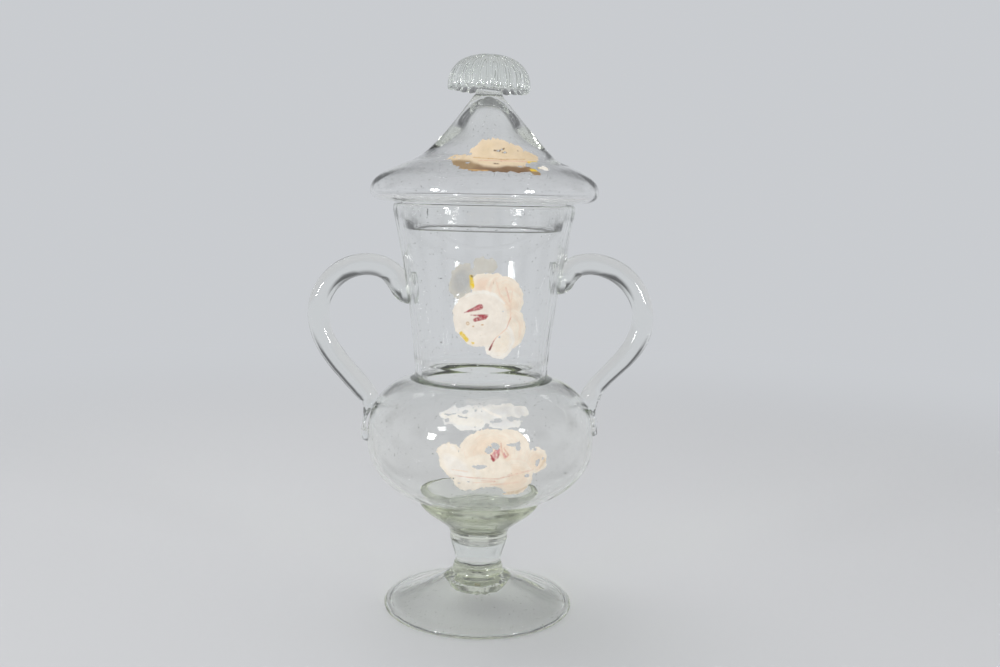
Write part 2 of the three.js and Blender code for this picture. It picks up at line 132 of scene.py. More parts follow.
def long_bend(start, pull, late_pull, end, steps=24):
    points = []
    for share in shares(steps):
        first = Vector(start).lerp(Vector(pull), share)
        second = Vector(pull).lerp(Vector(late_pull), share)
        third = Vector(late_pull).lerp(Vector(end), share)
        points.append(tuple(first.lerp(second, share).lerp(second.lerp(third, share), share)))
    return points


def moved_left(outline, distance):
    """The outline moved square to itself, to its left as one walks along it."""
    moved = []
    for index, here in enumerate(outline):
        before = Vector(outline[max(index - 1, 0)])
        after = Vector(outline[min(index + 1, len(outline) - 1)])
        along = (after - before).normalized()
        moved.append((here[0] - along.y * distance, here[1] + along.x * distance))
    return moved


print("a short bend passes", tuple(round(v, 2) for v in short_bend((0, 0), (1, 0), (1, 1))[4]), "halfway")

# %% [markdown]
# ## Turning an outline into glass
#
# Blowing on a turning pipe makes round walls, so each outline is spun about the axis. Hand
# work is never quite round: a slow drift of a third of a millimetre, the same for every piece,
# bends the reflections as real blown glass does and keeps the joints together. Blender's
# vector noise starts from the clock unless it gets a seed, so it gets one. Two fused pieces
# overlap by a hair, because a film of air between them would shine like a mirror.

# %% The slow drift of hand work
drift_depth = 0.35
drift_size = 55
drift_free = 20
drift_seed = 11
noise.seed_set(drift_seed)


def drifted(place):
    """The place of a point, in millimetres, after the slow drift, which starts at the table."""
    free = min(1.0, max(0.0, place[2]) / drift_free)
    return Vector(place) + drift_depth * free * noise.noise_vector(Vector(place) / drift_size)


off_mouth = drifted((mouth_radius, 0, mouth)) - Vector((mouth_radius, 0, mouth))
print("the mouth drifts by", round(off_mouth.length, 2), "mm on its right")

# %% Spin an outline and finish a piece
turned_sides = 144
fused = 0.15
weld_distance = 0.002


def finished(bm, name, body, node, sharp_degrees=40):
    """Closes a mesh that is in millimetres, puts it in metres and makes it a piece that rides on a body."""
    bmesh.ops.remove_doubles(bm, verts=bm.verts[:], dist=weld_distance)
    bmesh.ops.recalc_face_normals(bm, faces=bm.faces[:])
    for corner in bm.verts:
        corner.co = drifted(corner.co)
    bmesh.ops.scale(bm, vec=(millimetre,) * 3, verts=bm.verts[:])
    for edge in bm.edges:
        edge.smooth = edge.calc_face_angle(0) < math.radians(sharp_degrees)
    for face in bm.faces:
        face.smooth = True
    open_edges = sum(not edge.is_manifold for edge in bm.edges)
    mesh = bpy.data.meshes.new(name)
    bm.to_mesh(mesh)
    bm.free()
    piece = bpy.data.objects.new(name, mesh)
    bpy.context.scene.collection.objects.link(piece)
    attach(piece, body)
    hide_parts(node)
    print(name, "faces", len(mesh.polygons), "open edges", open_edges)
    return piece


def spun(outline, sides=turned_sides, ring=False):
    """Spins an outline about the axis. A ring's outline closes on itself, others end on the axis."""
    bm = bmesh.new()
    corners = [bm.verts.new((radius, 0, level)) for radius, level in outline]
    pairs = list(zip(corners, corners[1:])) + ([(corners[-1], corners[0])] if ring else [])
    edges = [bm.edges.new(pair) for pair in pairs]
    bmesh.ops.spin(
        bm, geom=corners + edges, cent=(0, 0, 0), axis=(0, 0, 1),
        angle=2 * math.pi, steps=sides, use_merge=True,
    )
    bmesh.ops.remove_doubles(bm, verts=bm.verts[:], dist=weld_distance)
    return bm


print("pieces are spun in", turned_sides, "steps and overlap by", fused, "mm")

# %% [markdown]
# ## The foot
#
# The foot is a low blown cone that stands on its thick, fire-polished rim. Its underside is hollow, and in
# the middle is the pontil scar: the rough ring where the iron was broken off. Spinning gives the cone, and
# the scar is then roughened by moving its points with a fine noise, because a break has no regular shape.

# %% Outline of the foot, with its pontil scar
foot_rim = 3.8
foot_wall = 3.0
cone_power = 1.25
scar_radius = 14.3
scar_start, scar_end, scar_top = 9, scar_radius + 2.5, 12
scar_spread = 5.5

cone_edge = foot_radius - foot_rim
cone = [
    (cone_edge - (cone_edge - ring_radius) * s, foot_rim + (foot_top - foot_rim) * s ** cone_power)
    for s in shares(28)
]
under_cone = [here for here in moved_left(cone, foot_wall) if here[0] > scar_radius + 3]
foot_outline = [
    *short_bend((0, 10.6), (8, 11.2), (scar_radius - 2.4, 10.6)),
    (scar_radius - 1.1, 9.7),
    (scar_radius - 0.2, 9.0),
    (scar_radius + 0.8, 9.5),
    (scar_radius + 1.8, 11.2),
    *under_cone[::-1],
    *short_bend(under_cone[0], (50.2, 0), (51.2, 0))[1:],
    *long_bend((51.8, 0), (54.2, 0), (54.2, 3.9), (cone_edge, foot_rim)),
    *cone[1:],
    (0, foot_top),
]
print("foot outline of", len(foot_outline), "points, scar", 2 * scar_radius, "mm across")

# %% Spin the foot and roughen the scar
foot = spun(foot_outline)
for corner in foot.verts:
    from_axis = math.hypot(corner.co.x, corner.co.y)
    if scar_start < from_axis < scar_end and corner.co.z < scar_top:
        nearness = 1 - abs(from_axis - scar_radius) / scar_spread
        coarse, fine = noise.noise_vector(corner.co / 2.2), noise.noise_vector(corner.co / 0.9)
        corner.co += nearness * (0.7 * coarse + 0.4 * fine)
foot = finished(foot, "blown_foot", "vase", "foot")

# %% [markdown]
# ## The stem
#
# A wad of glass joins the foot to a short solid stem, which flares upward
# under a collar. Each was a separate gather, so each is its own piece,
# and the bends between them are soft because the glass was still moving.

# %% Wad, stem and collar
stem_ring = finished(spun([
    (0, foot_top - fused),
    (ring_radius + 0.7, foot_top - fused),
    *long_bend(
        (ring_radius + 0.7, foot_top - fused + 0.2),
        (ring_radius - 0.8, foot_top + 0.8),
        (ring_radius + 0.4, ring_top - 0.3),
        (ring_radius - 1.6, ring_top),
        steps=14,
    ),
    (0, ring_top),
]), "fused_wad", "vase", "stem_ring")

stem_foot_radius = 13.0
stem = finished(spun([
    (0, ring_top - fused),
    (stem_foot_radius, ring_top - fused),
    *long_bend(
        (stem_foot_radius - 0.2, ring_top + 0.3),
        (stem_foot_radius - 0.4, ring_top + 4),
        (stem_radius, stem_top - 4),
        (stem_radius + 0.7, stem_top),
        steps=16,
    ),
    (0, stem_top),
]), "solid_stem", "vase", "stem")

collar = finished(spun([
    (0, stem_top - fused),
    (stem_radius + 0.6, stem_top - fused),
    *long_bend(
        (stem_radius + 0.8, stem_top + 0.1),
        (stem_radius + 1.4, stem_top + 1.2),
        (stem_radius + 0.4, collar_top - 2.5),
        (collar_radius, collar_top),
        steps=16,
    ),
    (0, collar_top),
]), "stem_collar", "vase", "collar")

# %% [markdown]
# ## The bulb, its cup and the neck
#
# The bulb was dipped in glass a second time, and that second gather stayed as a thick cup under it. Above,
# the neck was blown with the bulb and folded in at the waist, so a thick lip stands inward at the throat.
# The bulb is two superellipse halves that meet at its widest level, and the neck widens upward ever faster.

# %% Outlines of bulb and neck
bulb_level = 96.3
bulb_rise, rise_power = 40.3, 2.74
bulb_fall, fall_power = 38.1, 2.18
bulb_wall = 2.2
throat_radius = 30.5
lip_drop, lip_depth = 0.5, 2.5
neck_base_radius = 37.0
neck_wall = 2.6
neck_inner_radius = neck_base_radius - neck_wall
neck_power = 1.45
rim_height, rim_thickness = 5, 3.4
rim_start = mouth - rim_height


def bulb_radius_at(level):
    half, power = (bulb_rise, rise_power) if level > bulb_level else (bulb_fall, fall_power)
    share = min(1.0, abs(level - bulb_level) / half)
    return bulb_radius * (1 - share ** power) ** (1 / power)


def neck_radius_at(level):
    share = min(1.0, max(0.0, (level - throat) / (rim_start - throat)))
    return neck_base_radius + (mouth_radius - neck_base_radius) * share ** neck_power


quarter = math.pi / 2
fall_levels = [bulb_level - bulb_fall * math.sin(quarter * (1 - s)) for s in shares(40)]
rise_levels = [bulb_level + (throat - bulb_level) * math.sin(quarter * s) for s in shares(32)][1:]
bulb_outline = [(bulb_radius_at(level), level) for level in fall_levels + rise_levels]
neck_levels = [throat + (rim_start - throat) * s for s in shares(36)]
neck_outline = [(neck_radius_at(level), level) for level in neck_levels]
print("bulb widest at", bulb_level, "neck", round(neck_base_radius, 1), "to", round(mouth_radius, 1))

# %% Cup under the bulb
cup_lip = 2.0
cup_power = 1.47
lip_radius = bulb_radius_at(cup_top) + cup_lip
cup_outside = [
    (collar_radius + (lip_radius - collar_radius) * math.sin(quarter * s) ** cup_power,
     collar_top + (cup_top - collar_top) * s)
    for s in shares(24)
]
cup_inside = [
    here for here in moved_left(bulb_outline, fused)
    if here[0] > 0.5 and here[1] < cup_top + 0.2
]
cup = finished(spun([
    (0, collar_top - fused),
    (collar_radius - 0.1, collar_top - fused),
    *cup_outside[:-1],
    *short_bend(cup_outside[-1], (lip_radius + 0.3, cup_top + 0.9),
                (lip_radius - 1.5, cup_top + 0.8), steps=6),
    *cup_inside[::-1],
    (0, bulb_level - bulb_fall + fused),
]), "cased_cup", "vase", "bulb_cup")

# %% Bulb, with the lip at its throat
bulb_inside = [
    here for here in moved_left(bulb_outline, bulb_wall)
    if here[0] > 0.5 and here[1] < throat - lip_depth
]
bulb = finished(spun([
    *bulb_outline,
    (neck_base_radius, throat + fused / 2),
    (neck_inner_radius - 0.5, throat + fused / 2),
    *short_bend((neck_inner_radius - 1.6, throat - 0.2), (throat_radius, throat - lip_drop),
                (throat_radius, throat - lip_drop - 1.4), steps=6),
    *short_bend((throat_radius, throat - lip_drop - 1.6), (throat_radius, throat - lip_depth),
                (throat_radius + 2.2, throat - lip_depth), steps=6),
    *[here for here in bulb_inside[::-1] if here[0] > throat_radius + 3 or here[1] < bulb_level],
    (0, bulb_level - bulb_fall + bulb_wall),
]), "blown_bulb", "vase", "bulb")

# %% Neck
seat_gap = 0.08
rim_top = mouth - seat_gap
rim_inner_radius = mouth_radius - rim_thickness
neck_inside = [
    here for here in moved_left(neck_outline, neck_wall)
    if throat + 9 < here[1] < rim_start - 2
]
neck = finished(spun([
    (neck_inner_radius - 0.3, throat - fused / 2),
    (neck_base_radius, throat - fused / 2),
    *short_bend((neck_base_radius + 0.4, throat - 0.25), (neck_base_radius + 0.02, throat - 0.1),
                (neck_base_radius + 0.02, throat + 1.2), steps=6),
    *neck_outline[2:],
    *long_bend((mouth_radius, rim_top - 3), (mouth_radius + 0.1, rim_top),
               (rim_inner_radius - 0.1, rim_top + 0.01), (rim_inner_radius, rim_top - 3.2)),
    *neck_inside[::-1],
    *long_bend((neck_inner_radius + 0.1, throat + 8), (neck_inner_radius, throat + 4),
               (neck_inner_radius, throat + 1.6), (neck_inner_radius - 0.2, throat + 0.2), steps=12),
], ring=True), "flared_neck", "vase", "neck")

# %% [markdown]
# ## The handles
#
# Each handle is a rod of hot glass, pressed on the neck, carried round a loop and drawn
# down onto the bulb, where the tail was nipped with pincers. The two differ, because
# each was made in a few seconds. A curve with one bevel could not swell, so a ring is
# carried along stations instead: how far out, how high, and the half sizes there.

# %% Smooth line through stations
def smooth_stations(stations, spacing=1.3):
    """Stations filled in along a smooth line that passes through each of them."""
    points = np.array(stations, float)
    gaps = np.linalg.norm(np.diff(points[:, :2], axis=0), axis=1)
    speeds = np.diff(points, axis=0) / gaps[:, None]
    middle = (speeds[1:] * gaps[:-1, None] + speeds[:-1] * gaps[1:, None]) / (gaps[1:] + gaps[:-1])[:, None]
    slopes = np.vstack([speeds[:1], middle, speeds[-1:]])
    line = []
    for index, gap in enumerate(gaps):
        steps = max(2, round(gap / spacing))
        for s in shares(steps)[:-1]:
            line.append(
                points[index] * (1 + 2 * s) * (1 - s) ** 2
                + slopes[index] * gap * s * (1 - s) ** 2
                + points[index + 1] * s * s * (3 - 2 * s)
                + slopes[index + 1] * gap * s * s * (s - 1)
            )
    return np.array(line + [points[-1]])


print("a line through 3 stations:", len(smooth_stations([(0, 0), (5, 0), (5, 5)])), "places for the ring")

# %% Carry a ring along stations
rod_sides = 20


def carried_ring(stations, side, start_cap=True):
    """Extrudes a ring from station to station in the XZ plane, on the left (-1) or the right (1)."""
    line = smooth_stations(stations)
    bm = bmesh.new()
    ring = bmesh.ops.create_circle(bm, cap_ends=start_cap, segments=rod_sides, radius=1)["verts"]
    edges = bm.edges[:]
    before = Matrix.Identity(4)
    for index, (out, level, thick, wide) in enumerate(line):
        ahead, behind = line[min(index + 1, len(line) - 1)], line[max(index - 1, 0)]
        along = Vector((side * (ahead[0] - behind[0]), 0, ahead[1] - behind[1])).normalized()
        across = Vector((along.z, 0, -along.x))
        frame_here = Matrix((
            (across.x * thick, 0, along.x, side * out),
            (0, wide, 0, 0),
            (across.z * thick, 0, along.z, level),
            (0, 0, 0, 1),
        ))
        if index:
            made = bmesh.ops.extrude_edge_only(bm, edges=edges)["geom"]
            ring = [part for part in made if isinstance(part, bmesh.types.BMVert)]
            edges = [part for part in made if isinstance(part, bmesh.types.BMEdge)]
        bmesh.ops.transform(bm, matrix=frame_here @ before.inverted(), verts=ring)
        before = frame_here
    bmesh.ops.contextual_create(bm, geom=edges)
    bmesh.ops.recalc_face_normals(bm, faces=bm.faces[:])
    return bm


print("a rod has", rod_sides, "sides")

# %% Trim a handle to the wall of the vase
trim_depth = 0.4


def as_object(bm, name):
    mesh = bpy.data.meshes.new(name)
    bm.to_mesh(mesh)
    bm.free()
    made = bpy.data.objects.new(name, mesh)
    bpy.context.scene.collection.objects.link(made)
    return made


def combined(base, other, operation):
    """The base with the other one cut off or added, as a new bmesh. Both objects are used up."""
    modifier = base.modifiers.new("combine", "BOOLEAN")
    modifier.operation = operation
    modifier.solver = "EXACT"
    modifier.object = other
    ready = base.evaluated_get(bpy.context.evaluated_depsgraph_get())
    bm = bmesh.new()
    bm.from_mesh(ready.to_mesh())
    ready.to_mesh_clear()
    for used in (base, other):
        bpy.data.objects.remove(used)
    return bm


def body_core():
    """A solid that fills the vase to just under its surface, to trim the handles with."""
    outline = moved_left(bulb_outline[1:] + neck_outline[1:], trim_depth)
    return spun([(0, outline[0][1]), *outline, (0, outline[-1][1])])


print("handles go", trim_depth, "mm into the wall")

# %% Left handle
left_stations = [
    (37.0, 181.4, 8.9, 8.2),
    (42.2, 181.6, 8.8, 8.2),
    (44.6, 183.0, 7.6, 7.6),
    (47.6, 186.3, 6.6, 6.7),
    (51.6, 190.3, 6.2, 6.2),
    (57.0, 193.0, 6.1, 6.1),
    (63.4, 194.0, 6.1, 6.1),
    (71.5, 192.9, 6.1, 6.1),
    (79.2, 189.2, 6.1, 6.1),
    (85.5, 183.3, 6.0, 6.1),
    (89.8, 175.6, 6.0, 6.1),
    (91.2, 167.2, 6.1, 6.1),
    (90.2, 158.7, 6.1, 6.1),
    (86.8, 149.8, 6.0, 6.1),
    (81.3, 141.6, 6.0, 6.0),
    (74.4, 133.4, 6.0, 6.0),
    (67.0, 124.9, 5.9, 6.0),
    (62.6, 118.6, 4.9, 6.2),
    (63.6, 113.4, 2.7, 6.0),
    (64.6, 109.6, 1.5, 5.2),
    (65.3, 105.8, 1.2, 4.6),
    (65.6, 101.8, 1.5, 4.2),
    (64.8, 98.2, 2.5, 3.9),
    (63.9, 95.6, 2.2, 3.0),
    (63.4, 94.2, 0.6, 1.0),
]
rod = as_object(carried_ring(left_stations, side=-1), "rod")
core = as_object(body_core(), "core")
left_rod = combined(rod, core, "DIFFERENCE")
left_handle = finished(left_rod, "left_drawn_handle", "vase", "left_handle")

# %% Right handle, with the thread of glass that trails up the neck from its pad
right_stations = [
    (38.0, 188.2, 9.0, 8.2),
    (43.4, 188.6, 8.9, 8.2),
    (45.6, 190.2, 7.4, 7.4),
    (48.7, 192.8, 6.4, 6.6),
    (52.3, 195.0, 6.1, 6.2),
    (57.5, 196.1, 6.0, 6.1),
    (64.1, 195.7, 6.0, 6.1),
    (71.0, 193.4, 6.0, 6.0),
    (78.0, 189.2, 6.0, 6.0),
    (83.6, 183.4, 5.9, 6.0),
    (87.6, 176.2, 5.8, 6.0),
    (89.4, 168.3, 5.9, 6.0),
    (88.8, 160.0, 6.0, 6.0),
    (85.7, 152.0, 5.9, 6.0),
    (81.0, 145.2, 5.6, 5.8),
    (75.0, 138.6, 5.2, 5.5),
    (68.6, 131.8, 5.0, 5.4),
    (63.6, 125.6, 5.2, 5.5),
    (61.6, 120.6, 5.6, 6.0),
    (62.2, 117.0, 3.8, 5.8),
    (62.9, 113.6, 1.9, 5.2),
    (63.8, 109.8, 1.3, 4.6),
    (64.5, 106.4, 1.7, 4.4),
    (64.3, 103.2, 1.3, 4.0),
    (64.2, 100.8, 1.9, 3.6),
    (63.8, 99.2, 0.6, 1.2),
]
thread_stations = [
    (neck_radius_at(level) - 0.2, level, half, half * 1.3)
    for level, half in ((213, 0.3), (209, 0.7), (204, 1.0), (199, 1.5), (194, 2.4), (190, 3.0))
]
rod = as_object(carried_ring(right_stations, side=1), "rod")
thread = as_object(carried_ring(thread_stations, side=1), "thread")
rod = as_object(combined(rod, thread, "UNION"), "rod")
core = as_object(body_core(), "core")
right_rod = combined(rod, core, "DIFFERENCE")
right_handle = finished(right_rod, "right_drawn_handle", "vase", "right_handle")

# %% [markdown]
# ## The cover
#
# The cover is one blown wall: a flange that drops into the neck, a hollow rolled rim that rests
# on it, a rounded shoulder and a nearly straight cone that ends in a thick crown. Its inner line
# follows the outer one, except under the crown, where the glass gathered into a small vault.

# %% Outline of the cover
lid_wall = 2.0
seat_radius = 52.0
lid_rim_height = 5.8
shoulder_radius, shoulder_height = 40.7, 22.4
crown_radius = 7.7
crown_thickness = 3.2
flange_gap, flange_depth = 1.3, 14.7
flange_radius = rim_inner_radius - flange_gap
flange_end = mouth - flange_depth
cone_foot = mouth + 20
crown_lean, cone_drift = 1.2, 0.7
lean_share = 0.2

upper_lid_outline = [
    *long_bend(
        (lid_radius, mouth + lid_rim_height),
        (lid_radius, mouth + 14.2),
        (50.8, mouth + 18.4),
        (shoulder_radius, mouth + shoulder_height),
        steps=32,
    ),
    *long_bend(
        (shoulder_radius, mouth + shoulder_height),
        (32.7, mouth + 26.0),
        (20.4, lid_top - 14.4),
        (crown_radius + 0.7, lid_top - 0.1),
        steps=28,
    )[1:],
]
lid_outside = [
    (flange_radius - 1.8, flange_end + 1),
    (flange_radius - 0.9, (flange_end + mouth) / 2),
    *short_bend((flange_radius - 0.2, mouth - 1.8), (flange_radius, mouth),
                (flange_radius + 1.8, mouth), steps=6),
    *long_bend((seat_radius, mouth), (58.24, mouth), (lid_radius, mouth + 1.45),
               (lid_radius, mouth + lid_rim_height)),
    *upper_lid_outline[1:],
]
vault_top, vault_foot = lid_top - crown_thickness, lid_top - 29
vault_side = (13.6, lid_top - 13.0)
lid_inside = [here for here in moved_left(lid_outside, lid_wall) if here[1] < vault_foot]
vault = [
    *long_bend((0, vault_top), (5.0, vault_top), (8.4, vault_top - 3.6), vault_side, steps=14),
    *long_bend(vault_side, (19.0, lid_top - 19.4), (23.0, lid_top - 22.0), lid_inside[-1],
               steps=10)[1:],
]
print("cover outline of", len(vault) + len(lid_inside) + len(lid_outside), "points")

# %% Spin the cover and push its cone aside
cover = spun([
    *vault[:-1],
    *lid_inside[::-1],
    *short_bend(lid_inside[0], (flange_radius - 2.9, flange_end - 1.0), lid_outside[0])[1:-1],
    *lid_outside,
    (crown_radius + 0.4, lid_top),
    (0, lid_top),
])


def cone_aside(level):
    """How far the cone stands to the right of the axis, as it was blown by hand."""
    rise = max(0.0, (level - cone_foot) / (lid_top - cone_foot))
    start = min(1.0, rise / lean_share)
    return crown_lean * start * start * (3 - 2 * start) + cone_drift * math.sin(math.pi * rise)


for corner in cover.verts:
    corner.co.x += cone_aside(corner.co.z)
lid = finished(cover, "blown_cover", "cover", "lid")

# %% [markdown]
# ## The finial
#
# A wad of glass carries a mushroom that was pressed in a ribbed mould and then opened,
# so its ribs grow towards the brim and its underside is wavy. It leans a little. The
# outline is spun with many sides, and each point is then drawn in between the ribs.

# %% Wad under the finial
stem_height = 4.9
finial_lean = math.radians(2.5)
finial_offset = 1.5
wad_top_radius = 7.2
wad_waist_radius = 7.4
wad_aside = 2.3

finial_wad = spun([
    (0, -fused),
    *long_bend((crown_radius + 0.8, -fused), (wad_waist_radius, 1.2), (wad_waist_radius - 1.6, 3.4),
               (wad_top_radius, stem_height + fused), steps=16),
    (0, stem_height + fused),
], sides=72)
for corner in finial_wad.verts:
    share = corner.co.z / stem_height
    flat = Matrix.Rotation(finial_lean * share, 3, "Y") @ Vector((corner.co.x, corner.co.y, 0))
    aside = crown_lean + (wad_aside - crown_lean) * share
    corner.co = flat + Vector((aside, 0, lid_top + corner.co.z))
finial_wad = finished(finial_wad, "finial_wad", "cover", "finial_stem")

# %% Outline of the ribbed finial
finial_radius = 22.6
finial_height = 19.2
brim_drop = 1.5
brim_round = 1.9
ribs = 24
rib_depth, rib_power, rib_wander = 1.7, 0.8, 0.35
underside_wave, underside_drift, underside_top = 0.9, 0.7, 2

dome_height = finial_height - brim_round
dome_power = 2.3
dome = [
    (finial_radius * (1 - math.sin(quarter * s) ** dome_power) ** (1 / dome_power),
     brim_round - brim_drop + dome_height * math.sin(quarter * s))
    for s in shares(30)
]
print("dome of", len(dome), "points, from", round(dome[0][1], 1), "to", round(dome[-1][1], 1), "mm")

# %% Spin the finial and press its ribs
finial = spun([
    (0, -0.1),
    (wad_top_radius - 0.3, -0.1),
    *long_bend((wad_top_radius + 0.2, 0.2), (wad_top_radius + 1.5, 1.6),
               (finial_radius * 0.75, 1.5), (finial_radius - brim_round * 1.7, -brim_drop + 0.2),
               steps=14),
    *long_bend((finial_radius - brim_round * 1.4, -brim_drop), (finial_radius - 0.6, -brim_drop - 0.3),
               (finial_radius, -brim_drop + 0.4), dome[0], steps=8),
    *dome[1:],
], sides=ribs * 12)
for corner in finial.verts:
    from_axis = math.hypot(corner.co.x, corner.co.y)
    angle = math.atan2(corner.co.y, corner.co.x)
    fade = min(1.0, max(0.0, (from_axis - wad_top_radius) / (finial_radius - wad_top_radius)))
    fade = fade * fade * (3 - 2 * fade)
    wander = rib_wander * noise.noise((angle, 2.5, 0))
    rib = abs(math.cos(angle * ribs / 2 + wander)) ** rib_power
    drawn_in = 1 - rib_depth * fade * (1 - rib) / finial_radius
    corner.co.x *= drawn_in
    corner.co.y *= drawn_in
    if corner.co.z < underside_top:
        uneven = underside_drift * fade * noise.noise((angle * 1.7, 4.1, 0))
        corner.co.z -= underside_wave * fade * (rib - 0.5) + uneven
leaning = Matrix.Rotation(finial_lean, 3, "Y")
bmesh.ops.rotate(finial, cent=(0, 0, 0), matrix=leaning, verts=finial.verts[:])
bmesh.ops.translate(finial, vec=(finial_offset, 0, lid_top + stem_height), verts=finial.verts[:])
finial = finished(finial, "ribbed_finial", "cover", "finial", sharp_degrees=70)

# %% [markdown]
# ## Cold paint
#
# The flowers were painted on the cold glass and have flaked since. Each film is a fine grid laid
# on the glass, cut where the paint ends. Where it ends follows from petals, which are plain
# ellipses, from the flakes that are missing, and from a fine noise that frays every edge. The
# colours are tints on the points of the grid, mixed from a few pots as on a painter's table.

# %% Colours of the paint
def linear(red, green, blue):
    """A colour as the eye names it, turned into the numbers of light that shaders use."""
    shades = (red, green, blue)
    return tuple(((c + 0.055) / 1.055) ** 2.4 if c > 0.04045 else c / 12.92 for c in shades) + (1.0,)


pots = {
    "cream": linear(0.965, 0.925, 0.86),
    "warm_cream": linear(0.955, 0.885, 0.80),
    "white": linear(0.975, 0.955, 0.92),
    "lilac_white": linear(0.955, 0.92, 0.87),
    "peach": linear(0.945, 0.845, 0.76),
    "salmon": linear(0.89, 0.69, 0.61),
    "faded_rose": linear(0.90, 0.755, 0.68),
    "crimson": linear(0.66, 0.18, 0.24),
    "pink": linear(0.84, 0.52, 0.55),
    "dark_red": linear(0.38, 0.12, 0.14),
    "yellow": linear(0.93, 0.80, 0.12),
    "ochre": linear(0.80, 0.64, 0.42),
    "ochre_cream": linear(0.90, 0.82, 0.71),
    # These two tans are tan paint darkened further with painted shade, for the lower band of the flower on
    # the cover.
    "tan": linear(0.615, 0.515, 0.38),
    "dark_tan": linear(0.515, 0.40, 0.285),
    "brown": linear(0.40, 0.30, 0.22),
    "pale_grey": linear(0.83, 0.83, 0.815),
    "smoke_grey": linear(0.71, 0.715, 0.71),
    "dove_grey": linear(0.80, 0.79, 0.755),
    "band_white": linear(0.935, 0.93, 0.91),
    "band_grey": linear(0.885, 0.885, 0.88),
    "band_cream": linear(0.945, 0.93, 0.895),
    "old_cream": linear(0.915, 0.835, 0.72),
    "dark_cream": linear(0.885, 0.80, 0.665),
}
print(len(pots), "pots of paint")

# %% How deep a point lies in petals and flakes
fray_depth, fray_size = 0.9, 3.4
nick_depth, nick_size = 0.5, 1.2


def depth_in(shape, around, level):
    """Millimetres inside an ellipse: (around, level, half width, half height, tilt to the right)."""
    middle_around, middle_level, half_width, half_height, tilt = shape
    turn = math.radians(tilt)
    across = (around - middle_around) * math.cos(turn) - (level - middle_level) * math.sin(turn)
    along = (around - middle_around) * math.sin(turn) + (level - middle_level) * math.cos(turn)
    return (1 - np.hypot(across / half_width, along / half_height)) * min(half_width, half_height)


def grain(around, level, size, layer):
    """Noise with lumps of a size in millimetres. Each layer number is a slice of its own."""
    return np.array([noise.noise((a / size, l / size, layer)) for a, l in zip(around, level)])


def paint_depth(petals, flakes, around, level, covered_by=()):
    """Millimetres inside the paint that is left; below 0 the glass is bare."""
    fray = fray_depth * grain(around, level, fray_size, 1.5)
    fray = fray + nick_depth * grain(around, level, nick_size, 8.5)
    depth = np.max([depth_in(petal[:5], around, level) for petal in petals], axis=0) + fray
    if flakes:
        gone = np.max([depth_in(flake, around, level) for flake in flakes], axis=0)
        depth = np.minimum(depth, -gone - 0.8 * fray)
    if covered_by:
        cover = np.max([depth_in(petal[:5], around, level) for petal in covered_by], axis=0) + fray
        depth = np.minimum(depth, 0.4 - cover)
    return depth


print("the middle of a round petal lies", depth_in((0, 0, 3, 3, 0), 0, 0), "mm deep")

# %% Tints of petals and strokes
def blended(tints, colour, amount):
    amount = np.clip(amount, 0, 1)[:, None]
    return tints * (1 - amount) + np.array(colour[:3]) * amount


def soft_step(value):
    value = np.clip(value, 0, 1)
    return value * value * (3 - 2 * value)


def stroke_depth(stroke, around, level):
    """Millimetres inside a stroke: (pot, from around, level, to around, level, half width at each end)."""
    from_around, from_level, to_around, to_level, from_half, to_half = stroke[1:]
    run = np.array([to_around - from_around, to_level - from_level])
    share = ((around - from_around) * run[0] + (level - from_level) * run[1]) / max(run @ run, 1e-6)
    share = np.clip(share, 0, 1)
    off = np.hypot(around - from_around - share * run[0], level - from_level - share * run[1])
    return from_half + (to_half - from_half) * share - off


def tints_at(petals, strokes, around, level):
    """The colours of points of the paint: petals one over the other, then the strokes on them."""
    wobble = 0.7 * grain(around, level, 4.0, 3.5)
    nearest = np.argmax([depth_in(petal[:5], around, level) for petal in petals], axis=0)
    tints = np.array([pots[petal[6]][:3] for petal in petals])[nearest]
    below = np.full(len(around), -1.0)
    for petal in petals:
        heart, edge, line = (pots[pot] for pot in petal[5:8])
        depth = depth_in(petal[:5], around, level) + wobble
        brush = grain(depth * 2.6, np.arctan2(level - petal[1], around - petal[0]) * 1.6, 1.0, petal[0])
        reach = 0.6 * min(petal[2], petal[3])
        shade = np.tile(np.array(edge[:3]), (len(around), 1))
        shade = blended(shade, heart, soft_step(depth / reach) + 0.5 * brush)
        shade = blended(shade, line, 0.3 * soft_step(brush * 2.5))
        inside = soft_step(depth / 1.6 + 0.5)[:, None]
        tints = tints * (1 - inside) + shade * inside
        rim_line = 0.3 * np.exp(-((depth + 0.3) / 0.5) ** 2) * soft_step(below / 2)
        tints = blended(tints, line, rim_line)
        below = np.maximum(below, depth)
    for stroke in strokes:
        streaky = 0.85 + 0.6 * grain(around, level, 0.7, 5.5)
        laid = soft_step(stroke_depth(stroke, around, level) / 0.4 + 0.6)
        tints = blended(tints, pots[stroke[0]], laid * streaky)
    return tints


print("the end of a stroke lies", stroke_depth(("white", 0, 0, 4, 0, 1, 2), 4, 0), "mm deep")

# %% Cut a grid to the paint
paint_cell = 0.32
paint_margin = 1.5
probe_step = 0.04


